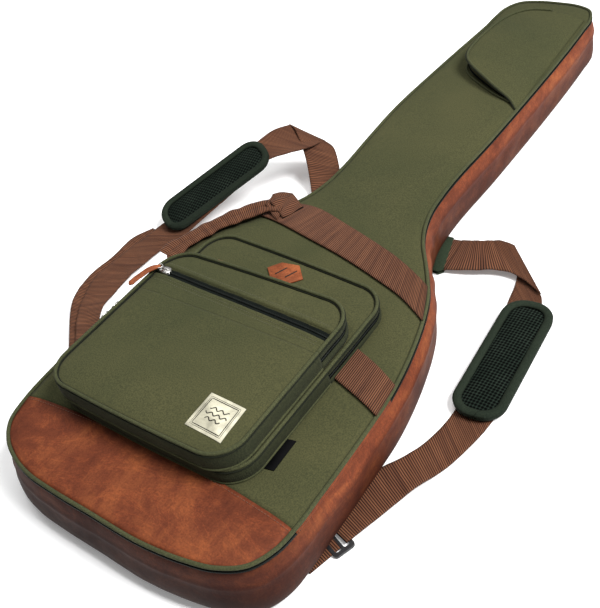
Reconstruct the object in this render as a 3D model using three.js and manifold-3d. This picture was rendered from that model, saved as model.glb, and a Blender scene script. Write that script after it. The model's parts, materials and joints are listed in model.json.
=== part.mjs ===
// Padded gig bag for an electric guitar, lying on its back with its shoulder straps laid out.
// Millimetres. +X is the bag's right, +Y runs towards the headstock end, +Z is out of the front.
// The outline, pockets and straps are drawn from the bottom end (y = 0), and the whole group is
// then moved so that the origin is on the flat back, half way along the bag.

import * as THREE from 'three';
import { mergeVertices } from 'three/addons/utils/BufferGeometryUtils.js';
import Module from 'manifold-3d';

const wasm = await Module();
wasm.setup();

// ---------------------------------------------------------------- driving dimensions

const LENGTH = 1050;          // outside length of the bag
const GAP = 0.3;              // running gap between neighbouring pieces
const OUTLINE_STEPS = 84;     // samples round the outline

const BACK_T = 10;            // padded back panel
const LINING_T = 2;           // plush lining, back and lid
const WALL_T = 9;             // padded side wall
const WALL_TOP = 64;          // height of the side wall's top edge
const TAPE_T = 1.2;           // one zip tape
const PIPING_TOP = 72.8;      // top of the piping round the lid
const PANEL_TOP = 72;         // top of the padded front panel
const PANEL_BASE = 63;        // underside of the padded front panel
const SEAM_Y = 82;            // seam between the leather toe and the canvas panel

const HINGE_Y0 = 70;          // start of the fabric hinge on the right side
const HINGE_Y1 = 262;         // end of the fabric hinge

const WEB_T = 2;              // webbing thickness
const WAIST_W = 40;           // waist webbing
const STRAP_W = 44;           // shoulder strap webbing
const PAD_W = 60;             // shoulder pad
const PAD_L = 178;
const PAD_T = 11;
const PAD_R = 26;             // its corner radius

const FOLD_Y = 235;           // where the zips of both front pockets end
const POCKET_WALL = 3;        // fabric and foam of a pocket wall
const POCKET_B = { x0: -133, x1: 125, y0: 89, y1: 363, r: 33, top: 90.5, rearTop: 80 };
const POCKET_A = { x0: -134, x1: 120, y0: 86, y1: 305, r: 34, top: 114.5, rearTop: 102 };
const PIPE_W = 5;             // piping round the pocket faces
const PIPE_H = 3;
const CHAIN_T = 2;            // pocket zip chain
const SLASH_Y = 264;          // middle of the zip across the face of the front pocket
const SLASH_W = 12;
const SLASH_X = (POCKET_A.x0 + POCKET_A.x1) / 2;
const SLASH_TURN = -0.04;     // the zip drops a little to the right
const SLIDER_X = -86;         // sliders of both pocket zips

const C_FLOOR = PANEL_TOP + GAP;          // underside of the headstock pocket
const C_TOP = 93;                         // its highest edge, on the left
const C_LOW = 76;                         // its height where it meets the right piping
const C_WALL = 3;

const OLIVE = 0x5b5c3d;
const OLIVE_EDGE = 0x55603f;
const SUEDE = 0x8b4526;
const WEBBING = 0x6e4b3a;
const PAD_GREEN = 0x24352b;
const BLACK = 0x15171a;
const LINING = 0x3a3128;
const STEEL = 0xb8b8b8;
const PULL_TAN = 0x8a4a2c;
const CREAM = 0xe6dfc8;

// Right and left halves of the outline, from the bottom end to the headstock end.
const RIGHT_SIDE = [
  [0, 0], [70, 0.5], [125, 8], [161, 20], [183, 40], [192, 72], [193, 130], [192, 190], [189, 250],
  [174, 328], [153, 388], [124, 434], [100, 470], [84, 512], [78, 575], [81, 680], [82, 850],
  [79, 965], [74, 1018], [57, 1041],
];
const LEFT_SIDE = [
  [0, 1050], [-52, 1041], [-69, 1016], [-73, 950], [-82, 830], [-88, 710], [-84, 625], [-80, 560],
  [-83, 510], [-98, 472], [-128, 434], [-160, 392], [-178, 350], [-184, 290], [-185, 200],
  [-184, 120], [-179, 72], [-167, 38], [-143, 18], [-105, 4], [-60, 0],
];

// ---------------------------------------------------------------- small helpers

const group = new THREE.Group();
group.position.y = -LENGTH / 2;

function material(color, roughness = 0.9, metalness = 0) {
  return new THREE.MeshStandardMaterial({ color, roughness, metalness });
}

function addMesh(name, geometry, color, roughness, metalness) {
  const mesh = new THREE.Mesh(geometry, material(color, roughness, metalness));
  mesh.name = name;
  group.add(mesh);
  return mesh;
}

function toSolid(geometry) {
  const bare = geometry.clone();
  bare.deleteAttribute('normal');
  bare.deleteAttribute('uv');
  const merged = mergeVertices(bare, 1e-4);
  const vertProperties = new Float32Array(merged.attributes.position.array);
  const triVerts = new Uint32Array(merged.index.array);
  return new wasm.Manifold(new wasm.Mesh({ numProp: 3, vertProperties, triVerts }));
}

function toGeometry(solid) {
  const mesh = solid.getMesh();
  const geometry = new THREE.BufferGeometry();
  geometry.setAttribute('position', new THREE.BufferAttribute(mesh.vertProperties, 3));
  geometry.setIndex(new THREE.BufferAttribute(mesh.triVerts, 1));
  geometry.computeVertexNormals();
  return geometry;
}

const cut = (a, b) => toGeometry(toSolid(a).subtract(toSolid(b)));
const join = (a, b) => toGeometry(toSolid(a).add(toSolid(b)));
const common = (a, b) => toGeometry(toSolid(a).intersect(toSolid(b)));

function signedArea(points) {
  return THREE.ShapeUtils.area(points);
}

// Moves every point of a closed polygon inwards by the same distance.
function inset(points, distance) {
  const turn = signedArea(points) > 0 ? 1 : -1;
  const count = points.length;
  return points.map((point, i) => {
    const before = points[(i + count - 1) % count];
    const after = points[(i + 1) % count];
    const along = new THREE.Vector2().subVectors(after, before).normalize();
    const inward = new THREE.Vector2(-along.y, along.x).multiplyScalar(turn * distance);
    return point.clone().add(inward);
  });
}

// A flat plate between two heights, with an optional bevel on both rims.
function plate(points, z0, z1, bevel = 0, hole = null) {
  const shape = new THREE.Shape(points);
  if (hole) {
    shape.holes.push(new THREE.Path(hole));
  }
  const geometry = new THREE.ExtrudeGeometry(shape, {
    depth: z1 - z0 - 2 * bevel,
    bevelEnabled: bevel > 0,
    bevelThickness: bevel,
    bevelSize: bevel,
    bevelOffset: -bevel,
    bevelSegments: 1,
  });
  return geometry.translate(0, 0, z0 + bevel);
}

const ring = (outer, inner, z0, z1, bevel = 0) => plate(outer, z0, z1, bevel, inner);

function block(x0, x1, y0, y1, z0, z1) {
  const geometry = new THREE.BoxGeometry(x1 - x0, y1 - y0, z1 - z0);
  return geometry.translate((x0 + x1) / 2, (y0 + y1) / 2, (z0 + z1) / 2);
}

const FAR = 2000;
const above = (y) => block(-FAR, FAR, y, FAR, -FAR, FAR);
const below = (y) => block(-FAR, FAR, -FAR, y, -FAR, FAR);

function roundedRect(x0, x1, y0, y1, r, steps = 6) {
  const shape = new THREE.Shape();
  shape.absarc(x1 - r, y0 + r, r, -Math.PI / 2, 0, false);
  shape.absarc(x1 - r, y1 - r, r, 0, Math.PI / 2, false);
  shape.absarc(x0 + r, y1 - r, r, Math.PI / 2, Math.PI, false);
  shape.absarc(x0 + r, y0 + r, r, Math.PI, 1.5 * Math.PI, false);
  return shape.getPoints(steps).slice(0, -1);
}

const vector2 = ([x, y]) => new THREE.Vector2(x, y);
const vector3 = ([x, y, z]) => new THREE.Vector3(x, y, z);

// A ribbon of constant width round a flat centre line.
function ribbon(centre, width, steps) {
  const curve = new THREE.CatmullRomCurve3(centre.map(([x, y]) => new THREE.Vector3(x, y, 0)));
  const left = [];
  const right = [];
  for (let i = 0; i <= steps; i += 1) {
    const point = curve.getPointAt(i / steps);
    const along = curve.getTangentAt(i / steps);
    left.push(new THREE.Vector2(point.x - along.y * width / 2, point.y + along.x * width / 2));
    right.unshift(new THREE.Vector2(point.x + along.y * width / 2, point.y - along.x * width / 2));
  }
  return [...right, ...left].reverse();
}

// A flat strap swept along a gently rising path. The section's x is its thickness.
function strap(path, width, steps, thickness = WEB_T) {
  const section = new THREE.Shape([
    new THREE.Vector2(-thickness / 2, -width / 2),
    new THREE.Vector2(thickness / 2, -width / 2),
    new THREE.Vector2(thickness / 2, width / 2),
    new THREE.Vector2(-thickness / 2, width / 2),
  ]);
  const extrudePath = new THREE.CatmullRomCurve3(path.map(vector3));
  return new THREE.ExtrudeGeometry(section, { steps, extrudePath, bevelEnabled: false });
}

// ---------------------------------------------------------------- outline of the bag

function sampleOutline() {
  const controls = [...RIGHT_SIDE, ...LEFT_SIDE].map(([x, y]) => new THREE.Vector3(x, y, 0));
  const curve = new THREE.CatmullRomCurve3(controls, true, 'centripetal');
  const samples = curve.getSpacedPoints(OUTLINE_STEPS).slice(0, -1);
  return samples.map((point) => new THREE.Vector2(point.x, point.y));
}

const outline = sampleOutline();
const onHinge = (point) => point.x > 150 && point.y > HINGE_Y0 && point.y < HINGE_Y1;

// A band just inside the outline, over the samples that pass the test.
function outlineBand(inset0, inset1, keep) {
  const outer = inset(outline, inset0);
  const inner = inset(outline, inset1);
  const count = outline.length;
  let start = 0;
  while (!(keep(outline[start]) && !keep(outline[(start + count - 1) % count]))) {
    start += 1;
  }
  const run = [];
  for (let i = start; keep(outline[i % count]) && run.length < count; i += 1) {
    run.push(i % count);
  }
  return [...run.map((i) => outer[i]), ...run.reverse().map((i) => inner[i])];
}

// ---------------------------------------------------------------- back half of the bag

const RECESS_DEPTH = 6.6;     // recess where a strap is sewn under the back

function recess({ x, y, width, length, turn }) {
  const box = new THREE.BoxGeometry(width, length, 2 * RECESS_DEPTH);
  return box.rotateZ(turn).translate(x, y, 0);
}

function addBackPanel() {
  const recesses = [
    { x: 90, y: 525, width: 70, length: 80, turn: 0 },
    { x: -90, y: 525, width: 84, length: 96, turn: 0 },
    { x: 185, y: 150, width: 60, length: 170, turn: -0.34 },
    { x: -190, y: 146, width: 62, length: 90, turn: 0.75 },
  ];
  const whole = plate(outline, 0, BACK_T, 3);
  const panel = recesses.reduce((solid, place) => cut(solid, recess(place)), whole);
  addMesh('back_panel', panel, OLIVE);
}

function addSideWall() {
  const wall = ring(outline, inset(outline, WALL_T), BACK_T + GAP, WALL_TOP, 2);
  addMesh('side_wall', wall, SUEDE);
}

function addInside() {
  const cavity = inset(outline, 12.3);
  const floor = BACK_T + GAP;
  addMesh('back_lining', plate(cavity, floor, floor + LINING_T), LINING);
  const bumper = ring(inset(outline, WALL_T + GAP), inset(outline, 24), floor + LINING_T + GAP, 56);
  addMesh('end_bumper', common(bumper, below(26)), BLACK);
  const cradle = new THREE.Shape([
    new THREE.Vector2(-56, 0), new THREE.Vector2(56, 0), new THREE.Vector2(56, 26),
    new THREE.Vector2(34, 26), new THREE.Vector2(26, 12), new THREE.Vector2(-26, 12),
    new THREE.Vector2(-34, 26), new THREE.Vector2(-56, 26),
  ]);
  const cradleGeometry = new THREE.ExtrudeGeometry(cradle, { depth: 110, bevelEnabled: false });
  cradleGeometry.rotateX(Math.PI / 2).translate(0, 760, floor + LINING_T + GAP);
  addMesh('neck_cradle', cradleGeometry, LINING);
  addMesh('neck_strap', block(-50, 50, 690, 720, 38.9, 40.9), BLACK);
}

function addMainZip() {
  const offHinge = (point) => !onHinge(point);
  const low = WALL_TOP + GAP;
  const high = low + TAPE_T + GAP;
  addMesh('main_zip_lower', plate(outlineBand(2, 8, offHinge), low, low + TAPE_T), BLACK);
  addMesh('main_zip_upper', plate(outlineBand(2, 8, offHinge), high, high + TAPE_T), BLACK);
  const tight = (point) => onHinge(point) && point.y > HINGE_Y0 + 6 && point.y < HINGE_Y1 - 6;
  addMesh('lid_hinge_strip', plate(outlineBand(2, 8, tight), low, low + TAPE_T), SUEDE);
}

// ---------------------------------------------------------------- lid

function addLid() {
  const piping = ring(inset(outline, 0.6), inset(outline, 8), 67.4, PIPING_TOP, 1.4);
  addMesh('lid_piping', piping, OLIVE_EDGE);
  const panel = plate(inset(outline, 8.3), PANEL_BASE, PANEL_TOP, 2);
  addMesh('front_panel', common(panel, above(SEAM_Y + GAP / 2)), OLIVE);
  addMesh('leather_toe', common(panel, below(SEAM_Y - GAP / 2)), SUEDE);
  const liningTop = PANEL_BASE - GAP;
  addMesh('lid_lining', plate(inset(outline, 12.3), liningTop - LINING_T, liningTop), LINING);
}

function addWaistWebbing() {
  const z0 = PANEL_TOP + GAP;
  const inside = plate(inset(outline, 9), z0 - 1, z0 + 10);
  const waist = [[-118, 452], [-62, 449], [-13, 437], [40, 421], [90, 404], [135, 384], [175, 362]];
  const band = plate(ribbon(waist, WAIST_W, 14), z0, z0 + WEB_T);
  addMesh('waist_band', common(band, inside), WEBBING);
  const side = [[127, 264], [160, 252], [196, 238]];
  const piece = plate(ribbon(side, WAIST_W, 4), z0, z0 + WEB_T);
  const clear = block(POCKET_B.x1 + GAP, FAR, 0, LENGTH, 0, 200);
  addMesh('side_webbing', common(common(piece, inside), clear), WEBBING);
  addMesh('blank_tag', plate(roundedRect(126, 138, 124, 158, 1, 1), z0, z0 + 1), BLACK);
}

// The carry handle lies along the bag's left shoulder and lifts about the line through its ends.
const HANDLE_Z = 83.5;
const HANDLE_PATH = [
  [-104, 455, HANDLE_Z], [-120, 448, HANDLE_Z], [-140, 428, HANDLE_Z], [-157, 404, HANDLE_Z],
  [-170, 378, HANDLE_Z], [-179, 354, HANDLE_Z], [-182, 336, HANDLE_Z],
];

function addHandle() {
  const section = new THREE.Shape();
  section.absellipse(0, 0, 4, 9, 0, 2 * Math.PI, false, 0);
  const rounded = new THREE.Shape(section.getPoints(8).slice(0, -1));
  const extrudePath = new THREE.CatmullRomCurve3(HANDLE_PATH.map(vector3));
  const grip = new THREE.ExtrudeGeometry(rounded, { steps: 22, extrudePath, bevelEnabled: false });
  addMesh('carry_handle', grip, WEBBING);
  const z0 = PANEL_TOP + GAP;
  const topTab = [[-97, 440], [-82, 440], [-76, 470], [-97, 470]].map(vector2);
  addMesh('handle_tab_upper', plate(topTab, z0 + WEB_T + GAP, z0 + 10), WEBBING);
  const lowTab = [[-170, 314], [-158, 314], [-156, 330], [-168, 330]].map(vector2);
  addMesh('handle_tab_lower', plate(lowTab, z0, z0 + 10), WEBBING);
}

// ---------------------------------------------------------------- front pockets

const rectOf = (p, shrink) => roundedRect(
  p.x0 + shrink, p.x1 - shrink, p.y0 + shrink, p.y1 - shrink, p.r - shrink,
);

// A box that is open underneath: four walls and the padded face.
function openShell(pocket, z0) {
  const outer = plate(rectOf(pocket, 0), z0, pocket.top);
  const inner = plate(rectOf(pocket, POCKET_WALL), z0 - 1, pocket.top - POCKET_WALL);
  return cut(outer, inner);
}

const wallRing = (pocket, z0, z1) => ring(rectOf(pocket, 0), rectOf(pocket, POCKET_WALL), z0, z1);

function addPocket(letter, pocket, base) {
  const upper = above(FOLD_Y + GAP / 2);
  const lower = below(FOLD_Y - GAP / 2);
  const zipZ = pocket.rearTop + GAP;
  const flapZ = zipZ + CHAIN_T + GAP;
  const name = `pocket_${letter}`;
  addMesh(`${name}_body`, common(openShell(pocket, base), lower), OLIVE);
  addMesh(`${name}_flap`, common(openShell(pocket, flapZ), upper), OLIVE);
  addMesh(`${name}_rear_wall`, common(wallRing(pocket, base, pocket.rearTop), upper), OLIVE);
  const chain = ring(rectOf(pocket, 0.5), rectOf(pocket, POCKET_WALL), zipZ, zipZ + CHAIN_T);
  addMesh(`${name}_zip`, common(chain, upper), BLACK);
  const pipeZ = pocket.top + GAP;
  const pipe = ring(rectOf(pocket, 0), rectOf(pocket, PIPE_W), pipeZ, pipeZ + PIPE_H);
  addMesh(`${name}_piping_upper`, common(pipe, upper), OLIVE_EDGE);
  addMesh(`${name}_piping_lower`, common(pipe, lower), OLIVE_EDGE);
}

const B_BASE = PANEL_TOP + GAP;
const A_BASE = POCKET_B.top + GAP + PIPE_H + GAP;

function addPockets() {
  addPocket('b', POCKET_B, B_BASE);
  addPocket('a', POCKET_A, A_BASE);
  const faceA = POCKET_A.top + GAP;
  const slashLength = POCKET_A.x1 - POCKET_A.x0 - 2 * (PIPE_W + 1.5);
  const slash = new THREE.BoxGeometry(slashLength, SLASH_W, 1).rotateZ(SLASH_TURN);
  addMesh('slash_zip', slash.translate(SLASH_X, SLASH_Y, faceA + 0.5), BLACK);
  const label = [[58, 106], [101, 104], [99, 146], [55, 147]].map(vector2);
  addMesh('woven_label', plate(label, faceA, faceA + 0.8), CREAM);
  const faceB = POCKET_B.top + GAP;
  const patch = [[-28, 337], [-14, 324], [11, 324], [22, 338], [4, 356], [-18, 352]].map(vector2);
  addMesh('lash_patch', plate(patch, faceB, faceB + 2), PULL_TAN);
}

// Headstock pocket: a wedge that is deep on the left and runs out at the right piping.
const C_EDGE = [
  [70, 748], [75, 760], [74, 984], [20, 984], [-20, 978], [-38, 956], [-41, 850], [-32, 826],
  [-16, 812],
].map(vector2);

function wedge(lift) {
  const profile = new THREE.Shape([
    new THREE.Vector2(-200, 0), new THREE.Vector2(200, 0),
    new THREE.Vector2(200, C_LOW + lift), new THREE.Vector2(75, C_LOW + lift),
    new THREE.Vector2(-20, C_TOP + lift), new THREE.Vector2(-200, C_TOP + lift),
  ]);
  const solid = new THREE.ExtrudeGeometry(profile, { depth: LENGTH, bevelEnabled: false });
  return solid.rotateX(Math.PI / 2).translate(0, LENGTH, 0);
}

function addHeadstockPocket() {
  const zipTop = C_FLOOR + CHAIN_T;
  const coverZ = zipTop + GAP;
  const outer = common(plate(C_EDGE, coverZ, C_TOP + 1), wedge(0));
  const inner = common(plate(inset(C_EDGE, C_WALL), coverZ - 1, C_TOP), wedge(-C_WALL));
  addMesh('headstock_pocket_cover', cut(outer, inner), OLIVE);
  const seamOuter = plate(inset(C_EDGE, 0.4), C_FLOOR, zipTop);
  const seam = cut(seamOuter, plate(inset(C_EDGE, C_WALL), C_FLOOR - 1, zipTop + 1));
  addMesh('headstock_pocket_zip', common(seam, block(-FAR, 62, -FAR, 960, 0, FAR)), BLACK);
}

// ---------------------------------------------------------------- zip sliders and pulls

// A slider body with its pull tab. The tab is drawn at its pin, tilted there and then moved.
function addSlider(name, place, size, pull) {
  const body = new THREE.BoxGeometry(size.x, size.y, size.z).rotateZ(place.turn ?? 0);
  body.translate(place.x, place.y, place.z);
  addMesh(`${name}_slider`, body, STEEL, 0.35, 0.9);
  const tab = new THREE.BoxGeometry(pull.x, pull.y, pull.z);
  tab.translate(pull.x * pull.side.x, pull.y * pull.side.y, pull.z * pull.side.z);
  tab.rotateX(pull.tilt ?? 0).rotateZ(pull.turn ?? 0);
  tab.translate(pull.at.x, pull.at.y, pull.at.z);
  addMesh(`${name}_pull`, tab, PULL_TAN);
}

function addSliders() {
  const sideX = -188.6;
  for (const [name, y] of [['main_upper', 231], ['main_lower', 213]]) {
    addSlider(name, { x: sideX, y, z: 65.6 }, { x: 3.6, y: 14, z: 2.6 }, {
      x: 2, y: 8, z: 36, side: { x: 0, y: 0, z: -0.5 }, at: { x: sideX - 3.2, y, z: 66 },
    });
  }
  const faceZ = POCKET_A.top + GAP + 1 + GAP;
  const slashAt = { x: -119, y: SLASH_Y + 4.5, z: faceZ + 1.5, turn: SLASH_TURN };
  addSlider('slash', slashAt, { x: 14, y: 9, z: 3 }, {
    x: 8, y: 36, z: 2, side: { x: 0, y: -0.5, z: 0.5 }, turn: -0.6,
    at: { x: -124, y: 267.5, z: faceZ + 3.3 },
  });
  for (const [name, pocket, tilt] of [
    ['pocket_a', POCKET_A, -0.62], ['pocket_b', POCKET_B, -0.46],
  ]) {
    const z = pocket.rearTop + GAP + CHAIN_T / 2;
    addSlider(name, { x: SLIDER_X, y: pocket.y1 + 2.4, z }, { x: 14, y: 4, z: 3 }, {
      x: 8, y: 17, z: 2, side: { x: 0, y: 0.5, z: -0.5 }, tilt,
      at: { x: SLIDER_X, y: pocket.y1 + 6, z: z + 1.5 },
    });
  }
  addSlider('headstock', { x: -43.6, y: 925, z: 74 }, { x: 4, y: 12, z: 3 }, {
    x: 20, y: 7, z: 1.6, side: { x: -0.5, y: 0, z: 0 }, at: { x: -46.8, y: 925, z: 74.2 },
  });
}

// ---------------------------------------------------------------- shoulder straps

const LOW = 1.6;              // centre height of webbing that lies on the ground
const OVER = LOW + WEB_T + GAP;
const OVER_GLIDE = 4.8;       // centre height of webbing that passes over its adjuster

// Each strap leaves the back at the shoulder, folds over, passes under its pad and comes back to
// the lower corner of the back. The two ends stay with the bag and the loop between them lifts.
// The right loop lies flat. The left loop stands up in an arch, with its pad on the slope.
const STRAPS = {
  right: {
    stub: [[70, 524, OVER], [92, 523, OVER], [111, 523, OVER]],
    tab: [[74, 492], [97, 489], [103, 494], [87, 553], [74, 553]],
    fold: [184, 194, 526, 542, LOW, OVER],
    upper: [[117, 523, OVER], [142, 527, OVER], [168, 535, OVER], [196, 527, OVER]],
    run: [[204, 549, LOW], [212, 520, LOW], [223, 485, LOW], [229, 455, LOW], [235, 385, LOW],
      [238, 320, LOW], [237, 288, LOW], [231, 258, LOW]],
    pad: { x: 234, y: 391, turn: 0.07 },
    lower: [[228, 248, LOW], [221, 226, 2.8], [211, 198, OVER_GLIDE], [196, 156, OVER_GLIDE],
      [184, 124, OVER_GLIDE]],
    glide: { x: 184, y: 124, turn: -0.36 },
  },
  left: {
    stub: [[-68, 514, OVER], [-88, 533, OVER], [-104, 549, OVER]],
    tab: [[-72, 488], [-92, 492], [-122, 532], [-92, 566], [-72, 554]],
    fold: [-214, -202, 618, 630, 71.2, 72.8],
    upper: [[-109, 554, OVER], [-132, 579, 8], [-158, 605, 24], [-184, 622, 48], [-202, 625, 66],
      [-216, 625, 72]],
    run: [[-202, 640, 72], [-207, 616, 72], [-217.7, 590.1, 70.1], [-241.8, 538.2, 52.1],
      [-262, 495, 37], [-282.2, 451.8, 21.9], [-307.1, 398.2, 3.4], [-314, 372, 1.8],
      [-317, 330, LOW], [-312, 290, LOW]],
    pad: { x: -262, y: 495, z: 35.4, turn: -0.4363, pitch: 0.3054 },
    lower: [[-308, 280, LOW], [-294, 246, 2.8], [-262, 206, OVER_GLIDE],
      [-220, 164, OVER_GLIDE], [-196, 140, OVER_GLIDE]],
    glide: { x: -205, y: 149, turn: 0.75 },
  },
};

function placed(geometry, spot) {
  return geometry.rotateX(spot.pitch ?? 0).rotateZ(spot.turn).translate(spot.x, spot.y, spot.z ?? 0);
}

function addStrap(side) {
  const plan = STRAPS[side];
  addMesh(`${side}_strap_tab`, plate(plan.tab.map(vector2), 0.4, OVER - WEB_T / 2 - GAP), OLIVE);
  addMesh(`${side}_strap_stub`, strap(plan.stub, STRAP_W, 2), WEBBING);
  const foldBlock = block(...plan.fold, LOW, OVER);
  const folded = join(join(strap(plan.upper, STRAP_W, 8), foldBlock), strap(plan.run, STRAP_W, 20));
  addMesh(`${side}_strap`, folded, WEBBING);
  addMesh(`${side}_strap_lower`, strap(plan.lower, STRAP_W - 4, 6), WEBBING);
  const padZ = LOW + WEB_T / 2 + (plan.pad.pitch ? 5 * GAP : GAP);
  const padShape = roundedRect(-PAD_W / 2, PAD_W / 2, -PAD_L / 2, PAD_L / 2, PAD_R);
  const pad = plate(padShape, padZ, padZ + PAD_T, 3);
  addMesh(`${side}_shoulder_pad`, placed(pad, plan.pad), PAD_GREEN);
  const frame = roundedRect(-27, 27, -12, 12, 4, 3);
  const slot = roundedRect(-22.5, 22.5, 1.5, 8, 2, 2);
  const other = roundedRect(-22.5, 22.5, -8, -1.5, 2, 2);
  const open = cut(plate(frame, 0.6, 3.4), plate(slot, 0, 5));
  const glide = cut(open, plate(other, 0, 5));
  addMesh(`${side}_strap_slider`, placed(glide, plan.glide), BLACK, 0.5);
}

// ---------------------------------------------------------------- assembly

addBackPanel();
addSideWall();
addInside();
addMainZip();
addLid();
addWaistWebbing();
addHandle();
addPockets();
addHeadstockPocket();
addSliders();
addStrap('right');
addStrap('left');

export default group;
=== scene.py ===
# Padded gig bag for an electric guitar, lying on its back with its shoulder straps laid out.
# Shapes are worked out in millimetres in the bag's own plan: x to the right, y from the bottom
# end, z up. row() turns such a point into the row frame, in metres.
import json
import math

import bpy
from mathutils import Matrix, Vector, kdtree, noise
from mathutils.bvhtree import BVHTree


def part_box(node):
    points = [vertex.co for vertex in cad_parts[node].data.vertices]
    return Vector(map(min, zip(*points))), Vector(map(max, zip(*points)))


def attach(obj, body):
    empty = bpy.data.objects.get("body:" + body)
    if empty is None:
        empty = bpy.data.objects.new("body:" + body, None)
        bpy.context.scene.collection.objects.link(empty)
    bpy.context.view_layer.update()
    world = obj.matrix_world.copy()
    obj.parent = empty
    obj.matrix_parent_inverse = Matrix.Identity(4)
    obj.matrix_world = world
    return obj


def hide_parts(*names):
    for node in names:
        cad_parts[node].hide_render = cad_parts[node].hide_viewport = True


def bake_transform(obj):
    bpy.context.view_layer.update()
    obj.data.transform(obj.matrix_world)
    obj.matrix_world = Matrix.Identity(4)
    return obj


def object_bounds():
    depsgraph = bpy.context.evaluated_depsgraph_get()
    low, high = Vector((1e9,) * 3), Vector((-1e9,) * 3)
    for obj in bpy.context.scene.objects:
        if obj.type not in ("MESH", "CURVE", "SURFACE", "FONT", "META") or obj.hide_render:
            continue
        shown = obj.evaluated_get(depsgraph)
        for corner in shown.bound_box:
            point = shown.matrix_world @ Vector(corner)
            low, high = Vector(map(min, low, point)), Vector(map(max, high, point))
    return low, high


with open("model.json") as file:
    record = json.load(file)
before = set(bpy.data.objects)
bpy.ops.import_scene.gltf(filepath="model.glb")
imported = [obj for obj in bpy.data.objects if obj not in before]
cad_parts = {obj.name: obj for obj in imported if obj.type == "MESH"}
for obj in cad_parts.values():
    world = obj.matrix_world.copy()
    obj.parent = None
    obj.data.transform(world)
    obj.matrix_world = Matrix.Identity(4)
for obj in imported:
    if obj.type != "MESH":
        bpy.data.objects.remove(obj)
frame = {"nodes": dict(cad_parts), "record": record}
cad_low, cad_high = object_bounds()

MM = 0.001
END_Y = cad_low.y / MM
UP = Vector((0, 0, 1))


def row(p):
    return Vector((p[0] * MM, (p[1] + END_Y) * MM, p[2] * MM))


def box(node):
    """A CAD node's lowest and highest corners, in the bag's plan."""
    return [Vector((c.x / MM, c.y / MM - END_Y, c.z / MM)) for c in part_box(node)]


def middle(node):
    low, high = box(node)
    return (low + high) / 2


# ---------------------------------------------------------------- sizes

WALL_LOW, WALL_TOP = (corner.z for corner in box("side_wall"))
PIPING_TOP = box("lid_piping")[1].z
PANEL_TOP = box("front_panel")[1].z
HINGE_Y0, HINGE_Y1 = (corner.y for corner in box("lid_hinge_strip"))
HINGE_X = 190
FOLD_Y = box("pocket_a_body")[1].y
PIPING_R = 2.1
POCKET_PIPING_R = 1.9
STRAP_W = 44


# ---------------------------------------------------------------- materials

def rgb(r, g, b):
    return (r, g, b, 1.0)


def grey(level):
    return rgb(level, level, level)


def shades(color, low, high):
    """A darker and a lighter shade of a colour."""
    return [rgb(*(share * c for c in color[:3])) for share in (low, high)]


class Look:
    """A node material built up by small steps."""

    def __init__(self, name, roughness=0.85, metallic=0.0, sheen=0.0, sheen_roughness=0.4,
                 specular=0.4):
        self.material = bpy.data.materials.new(name)
        self.material.use_nodes = True
        self.tree = self.material.node_tree
        self.shader = self.tree.nodes["Principled BSDF"]
        for key, value in (("Roughness", roughness), ("Metallic", metallic),
                           ("Sheen Weight", sheen), ("Sheen Roughness", sheen_roughness),
                           ("Specular IOR Level", specular)):
            self.shader.inputs[key].default_value = value
        self.height = None

    def node(self, kind, inputs, **settings):
        made = self.tree.nodes.new(kind)
        for key, value in settings.items():
            setattr(made, key, value)
        for key, value in inputs.items():
            self.feed(made.inputs[key], value)
        return made

    def feed(self, socket, value):
        """Links a socket to another, or gives it a value."""
        if isinstance(value, bpy.types.NodeSocket):
            self.tree.links.new(value, socket)
        else:
            socket.default_value = value

    def place(self):
        """Position on the piece in metres."""
        return self.node("ShaderNodeTexCoord", {}).outputs["Object"]

    def along(self):
        """Metres across and along a strip."""
        return self.node("ShaderNodeUVMap", {}, uv_map="strip").outputs["UV"]

    def stretched(self, source, scale):
        return self.node("ShaderNodeMapping", {"Vector": source, "Scale": scale}).outputs[0]

    def noise(self, source, scale, detail=3.0, distortion=0.0, rough=0.5):
        inputs = {"Vector": source, "Scale": scale, "Detail": detail, "Roughness": rough,
                  "Distortion": distortion}
        return self.node("ShaderNodeTexNoise", inputs).outputs["Fac"]

    def bands(self, source, pitch, direction, distortion=0.0):
        """Ridges of that pitch in metres, running across the X, Y or Z direction."""
        inputs = {"Vector": source, "Scale": math.pi / 10 / pitch, "Distortion": distortion,
                  "Detail": 1.0}
        return self.node("ShaderNodeTexWave", inputs, bands_direction=direction).outputs["Fac"]

    def maths(self, operation, a, b=0.0):
        return self.node("ShaderNodeMath", {0: a, 1: b}, operation=operation).outputs[0]

    def ramp(self, factor, *stops):
        made = self.node("ShaderNodeValToRGB", {"Fac": factor})
        elements = made.color_ramp.elements
        while len(elements) < len(stops):
            elements.new(0.5)
        for element, (position, color) in zip(elements, stops):
            element.position = position
            element.color = color
        return made.outputs["Color"]

    def mix(self, factor, a, b, blend="MIX"):
        made = self.node("ShaderNodeMix", {}, data_type="RGBA", blend_type=blend)
        for index, value in ((0, factor), (6, a), (7, b)):
            self.feed(made.inputs[index], value)
        return made.outputs[2]

    def times(self, a, b):
        return self.mix(1.0, a, b, "MULTIPLY")

    def color(self, socket):
        self.tree.links.new(socket, self.shader.inputs["Base Color"])

    def roughness(self, factor, low, high):
        made = self.node("ShaderNodeMapRange", {"Value": factor, "To Min": low, "To Max": high})
        self.tree.links.new(made.outputs[0], self.shader.inputs["Roughness"])

    def bump(self, height, strength, distance):
        inputs = {"Height": height, "Strength": strength, "Distance": distance * MM}
        if self.height is not None:
            inputs["Normal"] = self.height
        self.height = self.node("ShaderNodeBump", inputs).outputs[0]
        self.tree.links.new(self.height, self.shader.inputs["Normal"])


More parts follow.
